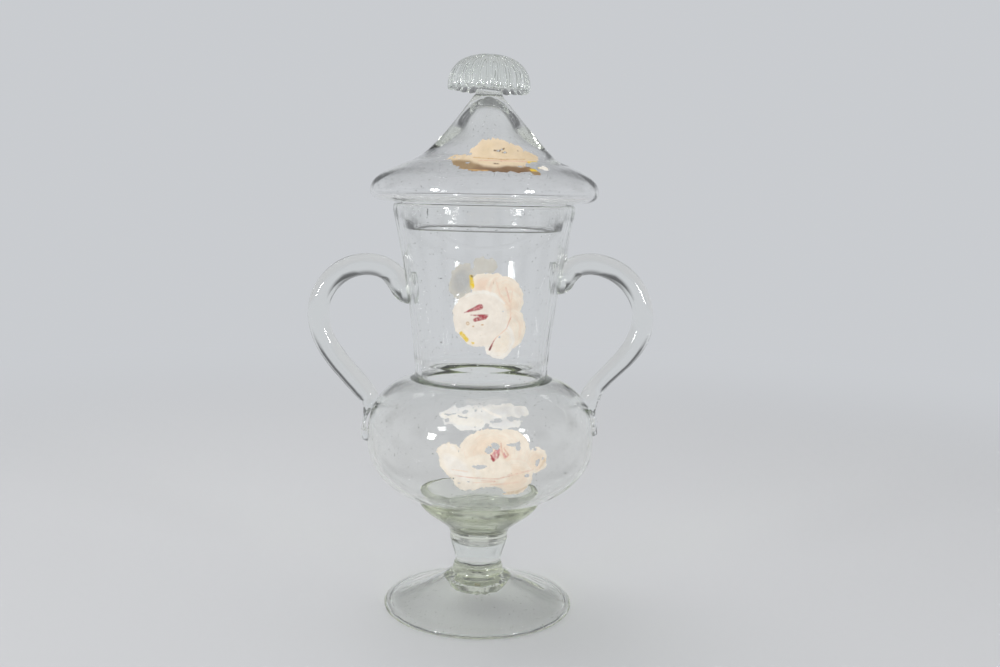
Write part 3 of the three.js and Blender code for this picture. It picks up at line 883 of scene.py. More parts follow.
def cut_grid(petals, flakes, covered_by, level_cell):
    """A flat grid over the petals, cut to the paint, with the corners at its edge moved onto the edge."""
    half_heights = [max(petal[3], petal[2] if petal[4] else 0) for petal in petals]
    low_around = min(petal[0] - max(petal[2:4]) for petal in petals) - paint_margin
    high_around = max(petal[0] + max(petal[2:4]) for petal in petals) + paint_margin
    low_level = min(petal[1] - half for petal, half in zip(petals, half_heights)) - paint_margin
    high_level = max(petal[1] + half for petal, half in zip(petals, half_heights)) + paint_margin
    wide, tall = high_around - low_around, high_level - low_level
    bm = bmesh.new()
    columns, rows = round(wide / paint_cell), round(tall / level_cell)
    bmesh.ops.create_grid(bm, x_segments=columns, y_segments=rows, size=0.5)
    bmesh.ops.scale(bm, vec=(wide, tall, 1), verts=bm.verts[:])
    bmesh.ops.translate(bm, vec=(low_around + wide / 2, low_level + tall / 2, 0), verts=bm.verts[:])

    points = np.array([corner.co[:2] for corner in bm.verts])
    depth = paint_depth(petals, flakes, points[:, 0], points[:, 1], covered_by)
    bm.verts.index_update()
    bare = [face for face in bm.faces if max(depth[corner.index] for corner in face.verts) <= 0]
    bmesh.ops.delete(bm, geom=bare, context="FACES")
    for _ in range(3):
        touching = [
            corner for corner in bm.verts
            if sum(edge.is_boundary for edge in corner.link_edges) > 2
        ]
        thinnest = {
            min(corner.link_faces, key=lambda face: sum(depth[v.index] for v in face.verts))
            for corner in touching
        }
        bmesh.ops.delete(bm, geom=list(thinnest), context="FACES")

    edge_corners = [corner for corner in bm.verts if depth[corner.index] < 0]
    edge_points = np.array([corner.co[:2] for corner in edge_corners])
    start = edge_points.copy()
    limit = np.array([paint_cell, level_cell]) * 0.8
    for _ in range(3):
        here = paint_depth(petals, flakes, edge_points[:, 0], edge_points[:, 1], covered_by)
        right = paint_depth(petals, flakes, edge_points[:, 0] + probe_step, edge_points[:, 1], covered_by)
        above = paint_depth(petals, flakes, edge_points[:, 0], edge_points[:, 1] + probe_step, covered_by)
        slope = np.stack([right - here, above - here], axis=1) / probe_step
        edge_points -= here[:, None] * slope / np.maximum((slope ** 2).sum(1), 0.3)[:, None]
        edge_points = np.clip(edge_points, start - limit, start + limit)
    for corner, point in zip(edge_corners, edge_points):
        corner.co = (point[0], point[1], 0)
    return bm


print("paint is cut from a grid of", paint_cell, "mm")

# %% Lay a film of paint on the glass
paint_lift = 0.03
paint_film = 0.16


def on_glass(radius_at, turn_radius, aside_at=lambda level: 0.0):
    """Gives the place of a point of the film from how far around it is, its level and its height."""
    def place(around, level, height):
        radius = radius_at(level)
        slope = (radius_at(level + 0.3) - radius_at(level - 0.3)) / 0.6
        outward = Vector((1, -slope)).normalized()
        turn = around / turn_radius
        out = radius + height * outward.x
        across = out * math.sin(turn) + aside_at(level)
        return Vector((across, -out * math.cos(turn), level + height * outward.y))
    return place


def painted(name, body, node, place, petals, flakes, strokes, covered_by=(), level_cell=paint_cell):
    """A film of paint: a grid cut to its petals and flakes, tinted, given its thickness and laid on."""
    bm = cut_grid(petals, flakes, covered_by, level_cell)
    around, level = np.array([corner.co[:2] for corner in bm.verts]).T
    tint_layer = bm.verts.layers.float_color.new("tint")
    for corner, tint in zip(bm.verts, tints_at(petals, strokes, around, level)):
        corner[tint_layer] = (*tint, 1)
    depth = paint_depth(petals, flakes, around, level, covered_by)
    relief = paint_film * (0.35 + 0.65 * soft_step(depth / 0.9))
    relief = relief + 0.05 * grain(around * 2.5, level, 1.6, 6.5)
    film = dict(zip([tuple(corner.co[:2]) for corner in bm.verts], relief))
    made = bmesh.ops.extrude_face_region(bm, geom=bm.faces[:])["geom"]
    for corner in made:
        if isinstance(corner, bmesh.types.BMVert):
            corner.co.z = film[tuple(corner.co[:2])]
    for corner in bm.verts:
        corner.co = place(corner.co.x, corner.co.y, paint_lift + corner.co.z)
    return finished(bm, name, body, node, sharp_degrees=50)


print("a film is", paint_film, "mm thick")

# %% [markdown]
# The flower on the neck is seen from the front: a round, lilac-white petal with a red heart lies over two
# curled cream ones, and two petals above it have faded to grey. A petal is written as (around, level, half
# width, half height, tilt, colour of the heart, of the edge and of the lines), in millimetres on the glass.

# %% Petals and flakes on the neck
neck_turn_radius = 41.5
neck_place = on_glass(neck_radius_at, neck_turn_radius)
neck_petals = [
    (1.2, 184.9, 7.4, 9.0, 0, "peach", "cream", "warm_cream"),
    (6.6, 184.6, 4.8, 8.8, 0, "peach", "cream", "warm_cream"),
    (12.9, 180.6, 8.3, 11.8, -25, "warm_cream", "cream", "peach"),
    (11.4, 176.0, 10.0, 9.0, 0, "warm_cream", "cream", "peach"),
    (16.0, 163.6, 9.2, 10.6, 0, "warm_cream", "cream", "peach"),
    (12.4, 162.0, 9.0, 10.4, 0, "cream", "cream", "peach"),
    (9.8, 157.7, 9.0, 9.8, 0, "cream", "white", "warm_cream"),
    (-1.4, 169.2, 14.4, 14.9, 0, "lilac_white", "lilac_white", "white"),
]
neck_grey_petals = [
    (0.6, 197.0, 5.6, 4.8, 0, "dove_grey", "dove_grey", "pale_grey"),
    (-10.6, 188.8, 6.3, 9.3, 20, "smoke_grey", "dove_grey", "pale_grey"),
]
neck_flakes = [
    (22.4, 173.3, 1.9, 1.1, 0),
    (10.0, 193.4, 1.0, 1.2, 0),
    (-5.8, 184.0, 1.0, 0.9, 0),
    (11.0, 173.5, 0.8, 0.8, 0),
    (9.8, 159.7, 0.6, 0.7, 0),
    (1.2, 193.6, 2.4, 0.4, 0),
]
neck_grey_flakes = [
    (2.0, 201.6, 1.5, 1.0, 0),
    (-5.6, 195.4, 0.5, 2.6, 8),
    (-8.6, 183.0, 0.5, 0.5, 0),
    (-12.5, 181.6, 0.8, 0.4, 0),
]
print(len(neck_petals) + len(neck_grey_petals), "petals on the neck")

# %% Strokes on the neck, and its two films
yellow_stamen = [
    ("yellow", -5.8, 191.4, -5.3, 186.2, 0.9, 1.1),
    ("brown", -5.7, 191.7, -5.5, 191.5, 0.4, 0.4),
]
neck_strokes = yellow_stamen + [
    ("white", -8.6, 180.6, -5.4, 182.6, 0.4, 0.8),
    ("white", -5.4, 182.6, 0.2, 183.6, 0.8, 0.9),
    ("white", 0.2, 183.6, 6.0, 182.2, 0.9, 0.8),
    ("white", 6.0, 182.2, 11.4, 177.6, 0.8, 0.4),
    ("crimson", -9.4, 172.3, -1.2, 175.6, 0.15, 1.5),
    ("crimson", -6.0, 171.2, 2.2, 170.9, 0.15, 0.9),
    ("crimson", -3.8, 168.7, 1.4, 170.2, 1.0, 1.2),
    ("pink", -4.0, 174.3, -1.6, 175.6, 0.2, 0.4),
    ("ochre", -7.8, 166.6, -7.7, 166.6, 0.9, 0.9),
    ("cream", -7.8, 166.6, -7.7, 166.6, 0.45, 0.45),
    ("ochre", -4.9, 165.2, -4.6, 165.2, 0.3, 0.3),
    ("ochre", -0.2, 166.1, 0.5, 166.1, 0.3, 0.3),
    ("yellow", -11.4, 161.2, -8.4, 158.0, 1.0, 1.1),
    ("yellow", -5.6, 156.6, -4.6, 156.2, 0.3, 0.4),
    ("peach", 6.6, 188.9, 8.6, 182.6, 0.3, 0.4),
    ("peach", 8.6, 182.6, 14.0, 176.1, 0.4, 0.4),
    ("salmon", 11.5, 186.1, 13.0, 182.0, 0.1, 0.3),
    ("salmon", 13.0, 182.0, 14.2, 178.3, 0.3, 0.1),
    ("peach", 15.2, 184.0, 14.6, 175.6, 0.2, 0.4),
    ("peach", 14.8, 176.2, 15.4, 169.0, 0.4, 0.3),
    ("salmon", 15.4, 169.8, 13.4, 164.0, 0.3, 0.1),
    ("peach", 13.4, 164.0, 7.6, 159.0, 0.3, 0.3),
    ("salmon", 7.8, 159.2, 6.6, 157.4, 0.15, 0.3),
    ("crimson", 6.6, 157.4, 4.6, 153.0, 0.2, 0.6),
    ("dark_red", 5.2, 154.6, 4.6, 153.0, 0.2, 0.4),
]
neck_flower = painted(
    "painted_flower_on_neck", "vase", "neck_flower", neck_place,
    neck_petals, neck_flakes, neck_strokes,
)
neck_grey = painted(
    "grey_petals_on_neck", "vase", "neck_petals", neck_place,
    neck_grey_petals, neck_grey_flakes, yellow_stamen, covered_by=neck_petals,
)

# %% [markdown]
# The flower on the bulb is the largest and has lost the most. Its petals run into each other,
# so they share a few creams and are told apart by thin rose strokes. Above it stands a band
# of grey petals with holes in it, which is a film of its own, because its paint is thinner.

# %% Petals and flakes on the bulb
bulb_turn_radius = 62.0
bulb_place = on_glass(bulb_radius_at, bulb_turn_radius)
bulb_petals = [
    (8.0, 97.0, 22.0, 8.0, 0, "cream", "cream", "warm_cream"),
    (15.0, 104.3, 10.6, 10.8, 0, "cream", "cream", "warm_cream"),
    (29.4, 98.4, 6.3, 6.8, 0, "warm_cream", "cream", "peach"),
    (5.0, 104.0, 15.0, 11.3, 0, "warm_cream", "cream", "peach"),
    (-15.9, 102.4, 4.7, 5.3, 0, "white", "cream", "cream"),
    (-17.7, 104.2, 3.2, 3.4, 0, "white", "cream", "cream"),
    (-13.7, 104.2, 2.6, 3.6, 0, "white", "cream", "cream"),
    (-17.2, 98.9, 3.6, 4.8, 0, "white", "cream", "cream"),
    (17.5, 89.8, 10.4, 10.0, 0, "warm_cream", "cream", "peach"),
    (3.0, 94.0, 13.5, 9.0, 0, "cream", "cream", "warm_cream"),
    (-5.5, 90.2, 8.2, 7.8, 0, "white", "cream", "cream"),
    (-11.2, 95.3, 6.4, 13.0, -45, "white", "cream", "cream"),
]
bulb_flakes = [
    (7.5, 107.2, 2.5, 1.9, 20),
    (4.7, 105.0, 2.0, 2.2, 40),
    (16.4, 107.3, 3.4, 1.1, 0),
    (19.4, 108.0, 2.0, 1.3, -20),
    (19.2, 105.9, 1.4, 1.9, 0),
    (-0.4, 96.5, 3.6, 0.8, 0),
    (-0.6, 95.7, 1.6, 0.8, 0),
    (30.2, 97.4, 0.9, 1.7, 25),
    (33.4, 99.2, 0.7, 1.0, 25),
    (28.6, 104.3, 0.9, 0.9, 0),
    (24.4, 90.9, 1.3, 0.9, 0),
    (18.9, 96.3, 0.5, 0.9, 35),
    (-5.8, 88.2, 1.2, 0.6, 10),
    (-10.0, 87.4, 1.3, 0.7, -35),
    (-13.1, 89.6, 0.8, 0.7, 0),
    (-8.1, 89.5, 0.8, 0.6, 0),
    (8.6, 82.0, 4.2, 3.4, 0),
    (1.4, 82.6, 4.2, 1.6, 0),
    (-5.2, 83.0, 2.2, 0.9, 0),
    (12.0, 81.6, 1.6, 0.6, 0),
]
print(len(bulb_petals), "petals and", len(bulb_flakes), "flakes on the bulb")

# %% Strokes on the bulb, and the flower's film
bulb_strokes = [
    ("pink", 8.8, 104.6, 7.0, 101.2, 1.4, 1.5),
    ("crimson", 5.4, 102.6, 6.9, 99.8, 0.2, 0.7),
    ("crimson", 9.4, 102.8, 8.9, 101.0, 0.4, 0.3),
    ("cream", 8.0, 104.0, 8.3, 102.2, 0.2, 0.3),
    ("salmon", 10.5, 108.4, 10.9, 104.6, 0.15, 0.35),
    ("salmon", 10.9, 104.6, 12.5, 100.8, 0.35, 0.35),
    ("salmon", 12.0, 105.8, 14.2, 102.4, 0.2, 0.35),
    ("salmon", 14.2, 102.4, 12.7, 100.7, 0.35, 0.4),
    ("pink", 12.0, 103.4, 12.8, 101.8, 0.2, 0.5),
    ("peach", -13.9, 94.5, -6.2, 93.8, 0.15, 0.2),
    ("faded_rose", -12.4, 91.5, -4.6, 90.6, 0.05, 0.25),
    ("faded_rose", -4.6, 90.6, 9.3, 89.9, 0.25, 0.2),
    ("faded_rose", 9.3, 89.9, 17.1, 91.7, 0.2, 0.2),
    ("peach", 17.1, 91.7, 26.1, 93.2, 0.25, 0.15),
    ("faded_rose", 13.9, 91.9, 27.8, 93.9, 0.05, 0.15),
    ("peach", -3.1, 87.8, 9.4, 88.3, 0.15, 0.25),
    ("salmon", 1.0, 88.9, 8.0, 88.7, 0.05, 0.15),
    ("peach", 6.0, 86.6, 20.0, 87.6, 0.4, 0.5),
    ("ochre_cream", 25.6, 84.6, 20.6, 81.8, 0.4, 0.9),
    ("ochre_cream", 20.6, 81.8, 13.4, 81.2, 0.9, 0.7),
    ("ochre_cream", 31.6, 94.4, 34.6, 98.4, 0.4, 0.9),
]
bulb_flower = painted(
    "painted_flower_on_bulb", "vase", "bulb_flower", bulb_place,
    bulb_petals, bulb_flakes, bulb_strokes,
)

# %% The grey band on the bulb
bulb_grey_petals = [
    (-14.2, 120.8, 7.4, 4.0, 0, "band_white", "band_grey", "band_grey"),
    (-18.6, 121.4, 4.4, 2.3, 0, "band_white", "band_grey", "band_grey"),
    (-1.0, 121.8, 17.0, 4.2, 0, "band_white", "band_grey", "band_grey"),
    (14.0, 122.6, 14.0, 3.3, 0, "band_grey", "band_white", "band_white"),
    (22.6, 122.8, 5.0, 2.8, 0, "band_grey", "band_white", "band_white"),
    (-5.5, 118.4, 8.8, 4.1, 0, "band_white", "band_white", "band_grey"),
    (12.3, 118.4, 9.2, 3.2, 0, "band_grey", "band_white", "band_white"),
]
bulb_grey_flakes = [
    (-19.0, 121.4, 1.5, 0.6, 10),
    (-16.0, 121.8, 2.0, 0.6, -10),
    (-8.6, 122.9, 2.0, 0.8, 0),
    (-9.4, 120.6, 3.0, 0.5, 5),
    (-13.2, 123.4, 0.9, 0.5, 0),
    (-4.4, 125.0, 1.0, 0.5, 0),
    (-0.4, 125.3, 1.6, 0.5, 0),
    (0.6, 123.4, 0.7, 0.5, 0),
    (-3.0, 123.6, 0.6, 0.4, 0),
    (9.4, 119.4, 2.4, 0.9, 0),
    (6.0, 118.7, 1.6, 0.5, 0),
    (3.4, 117.2, 1.0, 0.7, 0),
    (18.6, 119.9, 3.8, 1.1, 4),
    (25.4, 119.9, 2.4, 0.6, 10),
    (-7.2, 118.1, 0.6, 0.5, 0),
    (-4.6, 116.2, 1.0, 0.4, 0),
    (-2.6, 116.1, 0.7, 0.5, 0),
    (3.4, 115.6, 2.4, 0.8, 0),
    (-17.6, 118.9, 1.2, 0.5, 0),
    (-21.6, 119.4, 1.0, 0.5, 0),
]
bulb_grey_strokes = [
    ("white", 1.1, 124.7, 6.0, 122.4, 0.3, 0.6),
    ("white", 6.0, 122.4, 11.4, 120.7, 0.6, 0.4),
    ("band_cream", -22.0, 121.0, -12.0, 119.4, 0.8, 2.4),
    ("band_cream", -12.0, 119.4, 0.0, 118.0, 2.4, 1.8),
]
bulb_grey = painted(
    "grey_band_on_bulb", "vase", "bulb_petals", bulb_place,
    bulb_grey_petals, bulb_grey_flakes, bulb_grey_strokes, covered_by=bulb_petals,
)

# %% [markdown]
# The flower on the cover lies on the slope of the cone, so the camera sees it flattened. Below, its tan
# is darkened further with painted shade. The slope needs a finer grid along its levels.

# %% Petals and flakes on the cover
lid_levels = np.array([level for radius, level in upper_lid_outline])
lid_radii = np.array([radius for radius, level in upper_lid_outline])


def lid_radius_at(level):
    return float(np.interp(level, lid_levels, lid_radii))


lid_place = on_glass(lid_radius_at, 46.0, cone_aside)
lid_petals = [
    # The lowest petals are tan paint darkened further with painted shade.
    (4.0, 246.8, 12.6, 2.4, 0, "dark_tan", "dark_tan", "brown"),
    (13.5, 247.0, 8.4, 2.4, 0, "dark_tan", "dark_tan", "brown"),
    (-12.6, 250.2, 8.2, 2.2, 14, "tan", "tan", "dark_tan"),
    (-7.0, 248.4, 5.0, 2.6, 0, "tan", "tan", "dark_tan"),
    (-14.8, 251.9, 7.4, 1.7, 0, "old_cream", "dark_cream", "tan"),
    (-6.8, 251.4, 7.0, 1.6, 0, "old_cream", "dark_cream", "tan"),
    (29.2, 247.5, 3.6, 1.2, -8, "white", "white", "old_cream"),
    (23.6, 244.7, 2.8, 0.7, 0, "tan", "tan", "brown"),
    (22.6, 246.2, 2.4, 0.8, 0, "tan", "ochre", "brown"),
    (4.4, 254.9, 16.2, 7.4, 0, "dark_cream", "old_cream", "ochre_cream"),
    (14.4, 253.8, 12.8, 6.2, 0, "dark_cream", "old_cream", "ochre_cream"),
    (26.0, 253.0, 9.8, 3.2, 0, "dark_cream", "old_cream", "ochre_cream"),
    (9.0, 250.9, 19.6, 2.4, 0, "old_cream", "dark_cream", "ochre_cream"),
]
lid_flakes = [
    (1.2, 262.4, 1.0, 0.8, 0),
    (6.6, 255.8, 1.3, 0.6, 0),
    (9.2, 256.6, 0.9, 0.5, 0),
    (11.0, 255.0, 1.1, 0.4, 0),
    (-2.4, 250.6, 2.4, 0.35, 0),
    (-16.0, 251.2, 1.2, 0.35, 0),
    (-20.0, 252.2, 0.9, 0.4, 0),
    (-12.0, 253.6, 1.4, 0.5, 0),
    (-10.0, 249.4, 1.2, 0.4, 0),
    (24.8, 247.9, 1.6, 0.5, 0),
    (17.0, 247.9, 1.4, 0.3, 0),
    (34.6, 254.6, 1.2, 0.6, 0),
    (30.6, 256.6, 1.4, 0.5, 0),
]
print(len(lid_petals), "petals and", len(lid_flakes), "flakes on the cover")

# %% Strokes on the cover, and its film
lid_strokes = [
    ("ochre", -8.0, 252.0, 10.0, 251.2, 0.15, 0.2),
    ("ochre", 10.0, 251.2, 24.0, 251.6, 0.2, 0.1),
    ("salmon", -4.0, 250.6, 24.0, 250.4, 0.1, 0.15),
    ("brown", 4.0, 249.0, 6.6, 249.0, 0.15, 0.25),
    ("brown", 3.9, 255.9, 7.8, 255.6, 0.3, 0.4),
    ("brown", 7.6, 256.0, 11.4, 257.0, 0.25, 0.3),
    ("brown", 9.6, 254.9, 12.6, 254.8, 0.3, 0.2),
    ("brown", 21.0, 256.0, 21.3, 255.8, 0.3, 0.2),
    ("yellow", 24.4, 249.8, 30.4, 250.0, 0.7, 0.7),
    ("yellow", 21.0, 246.1, 24.0, 246.0, 0.5, 0.5),
    ("yellow", 25.0, 247.2, 26.6, 247.4, 0.3, 0.3),
    ("ochre", -11.0, 245.9, 1.0, 245.2, 0.2, 0.4),
    ("brown", -1.4, 244.9, 12.0, 244.7, 0.1, 0.2),
]
lid_flower = painted(
    "painted_flower_on_cover", "cover", "lid_flower", lid_place,
    lid_petals, lid_flakes, lid_strokes, level_cell=0.2,
)

# %% [markdown]
# ## Glass
#
# The glass is colourless with a breath of yellow-green where it is thick, so the colour belongs
# to the depth of the glass and not to its surface. Drawn glass keeps faint cords along its
# length and a few seeds, which are tiny bubbles. Light has to pass it to the table, so shadow
# rays lose only a little at each wall, and least in the foot, whose shadow lies right under it.

# %% Helpers for materials
def add_node(tree, kind, inputs=None, **settings):
    """Adds a shader node. An input is a plain value or the socket that feeds it."""
    made = tree.nodes.new(kind)
    for name, value in settings.items():
        setattr(made, name, value)
    for name, value in (inputs or {}).items():
        if isinstance(value, bpy.types.NodeSocket):
            tree.links.new(value, made.inputs[name])
        else:
            made.inputs[name].default_value = value
    return made


def new_material(name):
    material = bpy.data.materials.new(name)
    material.use_nodes = True
    material.node_tree.nodes.clear()
    return material, material.node_tree


def dressed(material, *pieces):
    for piece in pieces:
        piece.data.materials.append(material)
    print(material.name, "on", len(pieces), "pieces")


print("materials in the frame:", len(bpy.data.materials))

# %% Glass
glass_ior, polish = 1.5, 0.015
seeds_per_metre, seed_core, seed_edge = 300.0, 0.03, 0.1
usual_seeds, no_seeds = 0.00018, 0.0


def glass(name, depth_colour, density, cord_scale, cord_depth, seed_depth=usual_seeds, passed=0.955):
    """Glass that is coloured by its depth. Passed is the light that a wall lets on to its shadow."""
    material, tree = new_material(name)
    place = add_node(tree, "ShaderNodeTexCoord").outputs["Object"]
    drawn = add_node(tree, "ShaderNodeMapping", {"Vector": place, "Scale": cord_scale}).outputs["Vector"]
    cords = add_node(tree, "ShaderNodeTexNoise", {"Vector": drawn, "Scale": 1.0, "Detail": 1.5})
    cord_relief = add_node(tree, "ShaderNodeBump", {
        "Height": cords.outputs["Fac"], "Strength": 1.0, "Distance": cord_depth,
    })
    cells = add_node(tree, "ShaderNodeTexVoronoi", {
        "Vector": place, "Scale": seeds_per_metre, "Randomness": 1.0,
    })
    seeds = add_node(tree, "ShaderNodeMapRange", {
        "Value": cells.outputs["Distance"],
        "From Min": seed_core, "From Max": seed_edge, "To Min": 1.0, "To Max": 0.0,
    })
    seed_relief = add_node(tree, "ShaderNodeBump", {
        "Height": seeds.outputs["Result"], "Strength": 1.0, "Distance": seed_depth,
        "Normal": cord_relief.outputs["Normal"],
    })
    surface = add_node(tree, "ShaderNodeBsdfPrincipled", {
        "Base Color": (1.0, 1.0, 1.0, 1.0),
        "Roughness": polish,
        "IOR": glass_ior,
        "Transmission Weight": 1.0,
        "Normal": seed_relief.outputs["Normal"],
    })
    passing = add_node(tree, "ShaderNodeBsdfTransparent", {"Color": (passed, passed + 0.005, passed, 1.0)})
    ray = add_node(tree, "ShaderNodeLightPath").outputs["Is Shadow Ray"]
    mixed = add_node(tree, "ShaderNodeMixShader", {
        0: ray, 1: surface.outputs["BSDF"], 2: passing.outputs["BSDF"],
    })
    depth = add_node(tree, "ShaderNodeVolumeAbsorption", {"Color": depth_colour, "Density": density})
    add_node(tree, "ShaderNodeOutputMaterial", {"Surface": mixed.outputs[0], "Volume": depth.outputs[0]})
    return material


print("glass bends light by", glass_ior, "and has a seed every", round(1000 / seeds_per_metre, 1), "mm")

# %% The glass of each kind of work
drawn_tint = (0.80, 0.88, 0.74, 1.0)
thick_tint = (0.85, 0.90, 0.66, 1.0)

dressed(glass(
    "drawn_up_neck_glass", drawn_tint, density=12.0,
    cord_scale=(170, 170, 10), cord_depth=0.00013,
), neck)
dressed(glass(
    "blown_bulb_glass", (0.84, 0.90, 0.66, 1.0), density=18.0,
    cord_scale=(45, 45, 80), cord_depth=0.0003,
), bulb)
dressed(glass(
    "blown_cover_glass", (0.86, 0.89, 0.78, 1.0), density=10.0,
    cord_scale=(45, 45, 80), cord_depth=0.0003,
), lid)
dressed(glass(
    "gathered_thick_glass", thick_tint, density=14.0,
    cord_scale=(70, 70, 70), cord_depth=0.0004,
), stem_ring, collar, cup)
dressed(glass(
    "spun_foot_glass", thick_tint, density=14.0,
    cord_scale=(70, 70, 70), cord_depth=0.0004, passed=0.99,
), foot)
dressed(glass(
    "solid_worked_glass", drawn_tint, density=10.0,
    cord_scale=(90, 90, 60), cord_depth=0.0003,
), stem, finial_wad)
dressed(glass(
    "drawn_rod_glass", drawn_tint, density=10.0,
    cord_scale=(60, 110, 60), cord_depth=0.0003, seed_depth=no_seeds,
), left_handle, right_handle)
dressed(glass(
    "pressed_finial_glass", (0.80, 0.88, 0.76, 1.0), density=8.0,
    cord_scale=(160, 160, 110), cord_depth=0.0005,
), finial)

# %% [markdown]
# ## Paint
#
# Old oil paint is matt and a little chalky, with the ridges of the brush in
# it. Its colours come from the tints laid on the films, and two noises, one
# drawn out along the brush and one fine, keep any of them from being flat.

# %% Paint material
brush_scale, ridge_depth = (1500, 1500, 350), 0.00012
chalk_scale, most_dirt = 260.0, 0.16
dirt_colour = linear(0.66, 0.60, 0.52)


def cold_paint(name, roughness):
    material, tree = new_material(name)
    tint = add_node(tree, "ShaderNodeAttribute", attribute_name="tint").outputs["Color"]
    place = add_node(tree, "ShaderNodeTexCoord").outputs["Object"]
    brushed = add_node(tree, "ShaderNodeMapping", {"Vector": place, "Scale": brush_scale})
    ridges = add_node(tree, "ShaderNodeTexNoise", {
        "Vector": brushed.outputs["Vector"], "Scale": 1.0, "Detail": 3.0,
    })
    chalk = add_node(tree, "ShaderNodeTexNoise", {"Vector": place, "Scale": chalk_scale, "Detail": 4.0})
    dirt = add_node(tree, "ShaderNodeMapRange", {
        "Value": chalk.outputs["Fac"],
        "From Min": 0.35, "From Max": 0.7, "To Min": 0.0, "To Max": most_dirt,
    })
    worn = add_node(tree, "ShaderNodeMix", {
        "Factor": dirt.outputs["Result"], 6: tint, 7: dirt_colour,
    }, data_type="RGBA")
    relief = add_node(tree, "ShaderNodeBump", {
        "Height": ridges.outputs["Fac"], "Strength": 0.5, "Distance": ridge_depth,
    })
    surface = add_node(tree, "ShaderNodeBsdfPrincipled", {
        "Base Color": worn.outputs[2], "Roughness": roughness, "Normal": relief.outputs["Normal"],
    })
    add_node(tree, "ShaderNodeOutputMaterial", {"Surface": surface.outputs["BSDF"]})
    return material


dressed(cold_paint("flaked_cream_paint", 0.55), neck_flower, bulb_flower, lid_flower)
dressed(cold_paint("thin_grey_paint", 0.65), neck_grey, bulb_grey)

# %% [markdown]
# ## Stage
#
# A pale table runs into a pale backdrop with no line between them. The backdrop is seen by the
# camera and through the glass, and the light that falls on the paint is set apart from it.

# %% Table
backdrop_colour = linear(0.79, 0.80, 0.815)
cloth_colour = linear(0.795, 0.80, 0.81)
table_radius, table_gap = 2.5, 0.0001
cloth_end, backdrop_start = 0.25, 1.05
table_mesh = bmesh.new()
bmesh.ops.create_circle(table_mesh, cap_ends=True, segments=96, radius=table_radius)
bmesh.ops.translate(table_mesh, vec=(0, 0, -table_gap), verts=table_mesh.verts[:])
table = as_object(table_mesh, "table")

table_cloth, tree = new_material("pale_table")
place = add_node(tree, "ShaderNodeTexCoord").outputs["Object"]
distance = add_node(tree, "ShaderNodeVectorMath", {0: place}, operation="LENGTH").outputs["Value"]
far = add_node(tree, "ShaderNodeMapRange", {
    "Value": distance, "From Min": cloth_end, "From Max": backdrop_start,
}, interpolation_type="SMOOTHERSTEP").outputs["Result"]
cloth = add_node(tree, "ShaderNodeBsdfDiffuse", {"Color": cloth_colour})
glow = add_node(tree, "ShaderNodeEmission", {"Color": backdrop_colour})
both = add_node(tree, "ShaderNodeMixShader", {0: far, 1: cloth.outputs[0], 2: glow.outputs[0]})
add_node(tree, "ShaderNodeOutputMaterial", {"Surface": both.outputs[0]})
dressed(table_cloth, table)

# %% [markdown]
# Glass has no colour of its own to show its form, so it shows what stands around it.
# Photographers stand dark screens beside a pale backdrop, and the glass draws its own edges
# with them. Here eight soft dark screens stand between the eight directions from which an
# object is usually looked at. They fade towards the table, because the solid stem works as
# a lens and would show them as boxes, and the room darkens towards its ceiling. Only
# reflections and light bent by the glass see all this, so the backdrop itself stays plain.

# %% Backdrop, with the screens that draw the edges of the glass
world = bpy.data.worlds.new("studio")
bpy.context.scene.world = world
world.use_nodes = True
tree = world.node_tree
tree.nodes.clear()
screen_count = 8.0
screen_light, ceiling_light, room_light = 0.2, 0.35, 0.55


def sum_node(operation, *inputs):
    """One step of arithmetic on numbers or sockets."""
    return add_node(tree, "ShaderNodeMath", dict(enumerate(inputs)), operation=operation).outputs[0]


def fading(value, from_min, from_max, to_min, to_max):
    """A soft change from one amount to another while the value goes from one number to another."""
    return add_node(tree, "ShaderNodeMapRange", {
        "Value": value, "From Min": from_min, "From Max": from_max, "To Min": to_min, "To Max": to_max,
    }, interpolation_type="SMOOTHSTEP").outputs["Result"]


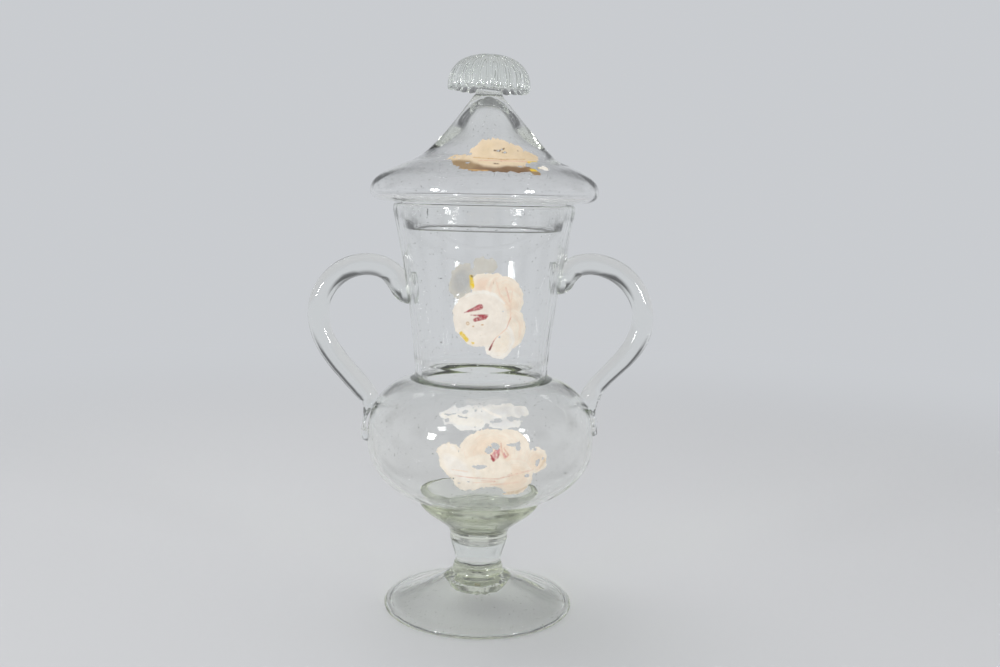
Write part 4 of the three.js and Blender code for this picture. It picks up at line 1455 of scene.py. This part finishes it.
looked = add_node(tree, "ShaderNodeTexCoord").outputs["Generated"]
way = add_node(tree, "ShaderNodeSeparateXYZ", {0: looked})
turn = sum_node("ARCTAN2", way.outputs["X"], way.outputs["Y"])
wave = sum_node("COSINE", sum_node("MULTIPLY", turn, screen_count))
tall_screens = fading(wave, 0.1, -0.9, 1.0, screen_light)
near_table = fading(way.outputs["Z"], 0.0, 0.28, 1.0, 0.0)
screens = sum_node("MAXIMUM", tall_screens, near_table)
ceiling = fading(way.outputs["Z"], 0.2, 0.6, 1.0, ceiling_light)
around_glass = sum_node("MINIMUM", screens, ceiling)
rays = add_node(tree, "ShaderNodeLightPath")
bent = sum_node("MAXIMUM", rays.outputs["Is Glossy Ray"], rays.outputs["Is Transmission Ray"])
room = add_node(tree, "ShaderNodeBackground", {"Color": (1.0, 1.0, 1.0, 1.0), "Strength": room_light})
backdrop = add_node(tree, "ShaderNodeBackground", {"Color": backdrop_colour, "Strength": 1.0})
screened = add_node(tree, "ShaderNodeBackground", {"Color": backdrop_colour, "Strength": around_glass})
seen = add_node(tree, "ShaderNodeMixShader", {
    0: rays.outputs["Is Camera Ray"], 1: room.outputs[0], 2: backdrop.outputs[0],
})
sky = add_node(tree, "ShaderNodeMixShader", {0: bent, 1: seen.outputs[0], 2: screened.outputs[0]})
add_node(tree, "ShaderNodeOutputWorld", {"Surface": sky.outputs[0]})
print(round(screen_count), "screens at", screen_light, "of the backdrop's light, ceiling at", ceiling_light)

# %% [markdown]
# Two small soft lamps stand left and right of the camera, a little higher than the vase,
# where the photograph's highlights on the glass come from. A large one hangs behind and
# above the vase. It lights the table and the paint, and the glass does not mirror it.

# %% Lamps
def soft_lamp(name, azimuth, height, distance, width, tall, power):
    """A rectangular lamp that stands off at an azimuth from the front and faces the vase."""
    data = bpy.data.lights.new(name, "AREA")
    data.shape = "RECTANGLE"
    data.size, data.size_y, data.energy = width, tall, power
    lamp = bpy.data.objects.new(name, data)
    bpy.context.scene.collection.objects.link(lamp)
    turn = math.radians(azimuth)
    lamp.location = (distance * math.sin(turn), -distance * math.cos(turn), height)
    aim = lamp_aim - lamp.location
    lamp.rotation_euler = aim.to_track_quat("-Z", "Y").to_euler()
    print(name, round(azimuth), "degrees round, watts", power)
    return lamp


lamp_aim = Vector((0, 0, 0.15))
front = {"height": 0.42, "distance": 1.3, "width": 0.18, "tall": 0.26}
soft_lamp("left_lamp", azimuth=-48, power=5.2, **front)
soft_lamp("right_lamp", azimuth=44, power=4.8, **front)
overhead_lamp = soft_lamp(
    "overhead_lamp", azimuth=215, height=1.5, distance=0.5, width=0.9, tall=0.9, power=9.0,
)
overhead_lamp.visible_glossy = overhead_lamp.visible_transmission = False
bounces = 32
cycles = bpy.context.scene.cycles
cycles.max_bounces = cycles.transmission_bounces = cycles.glossy_bounces = bounces
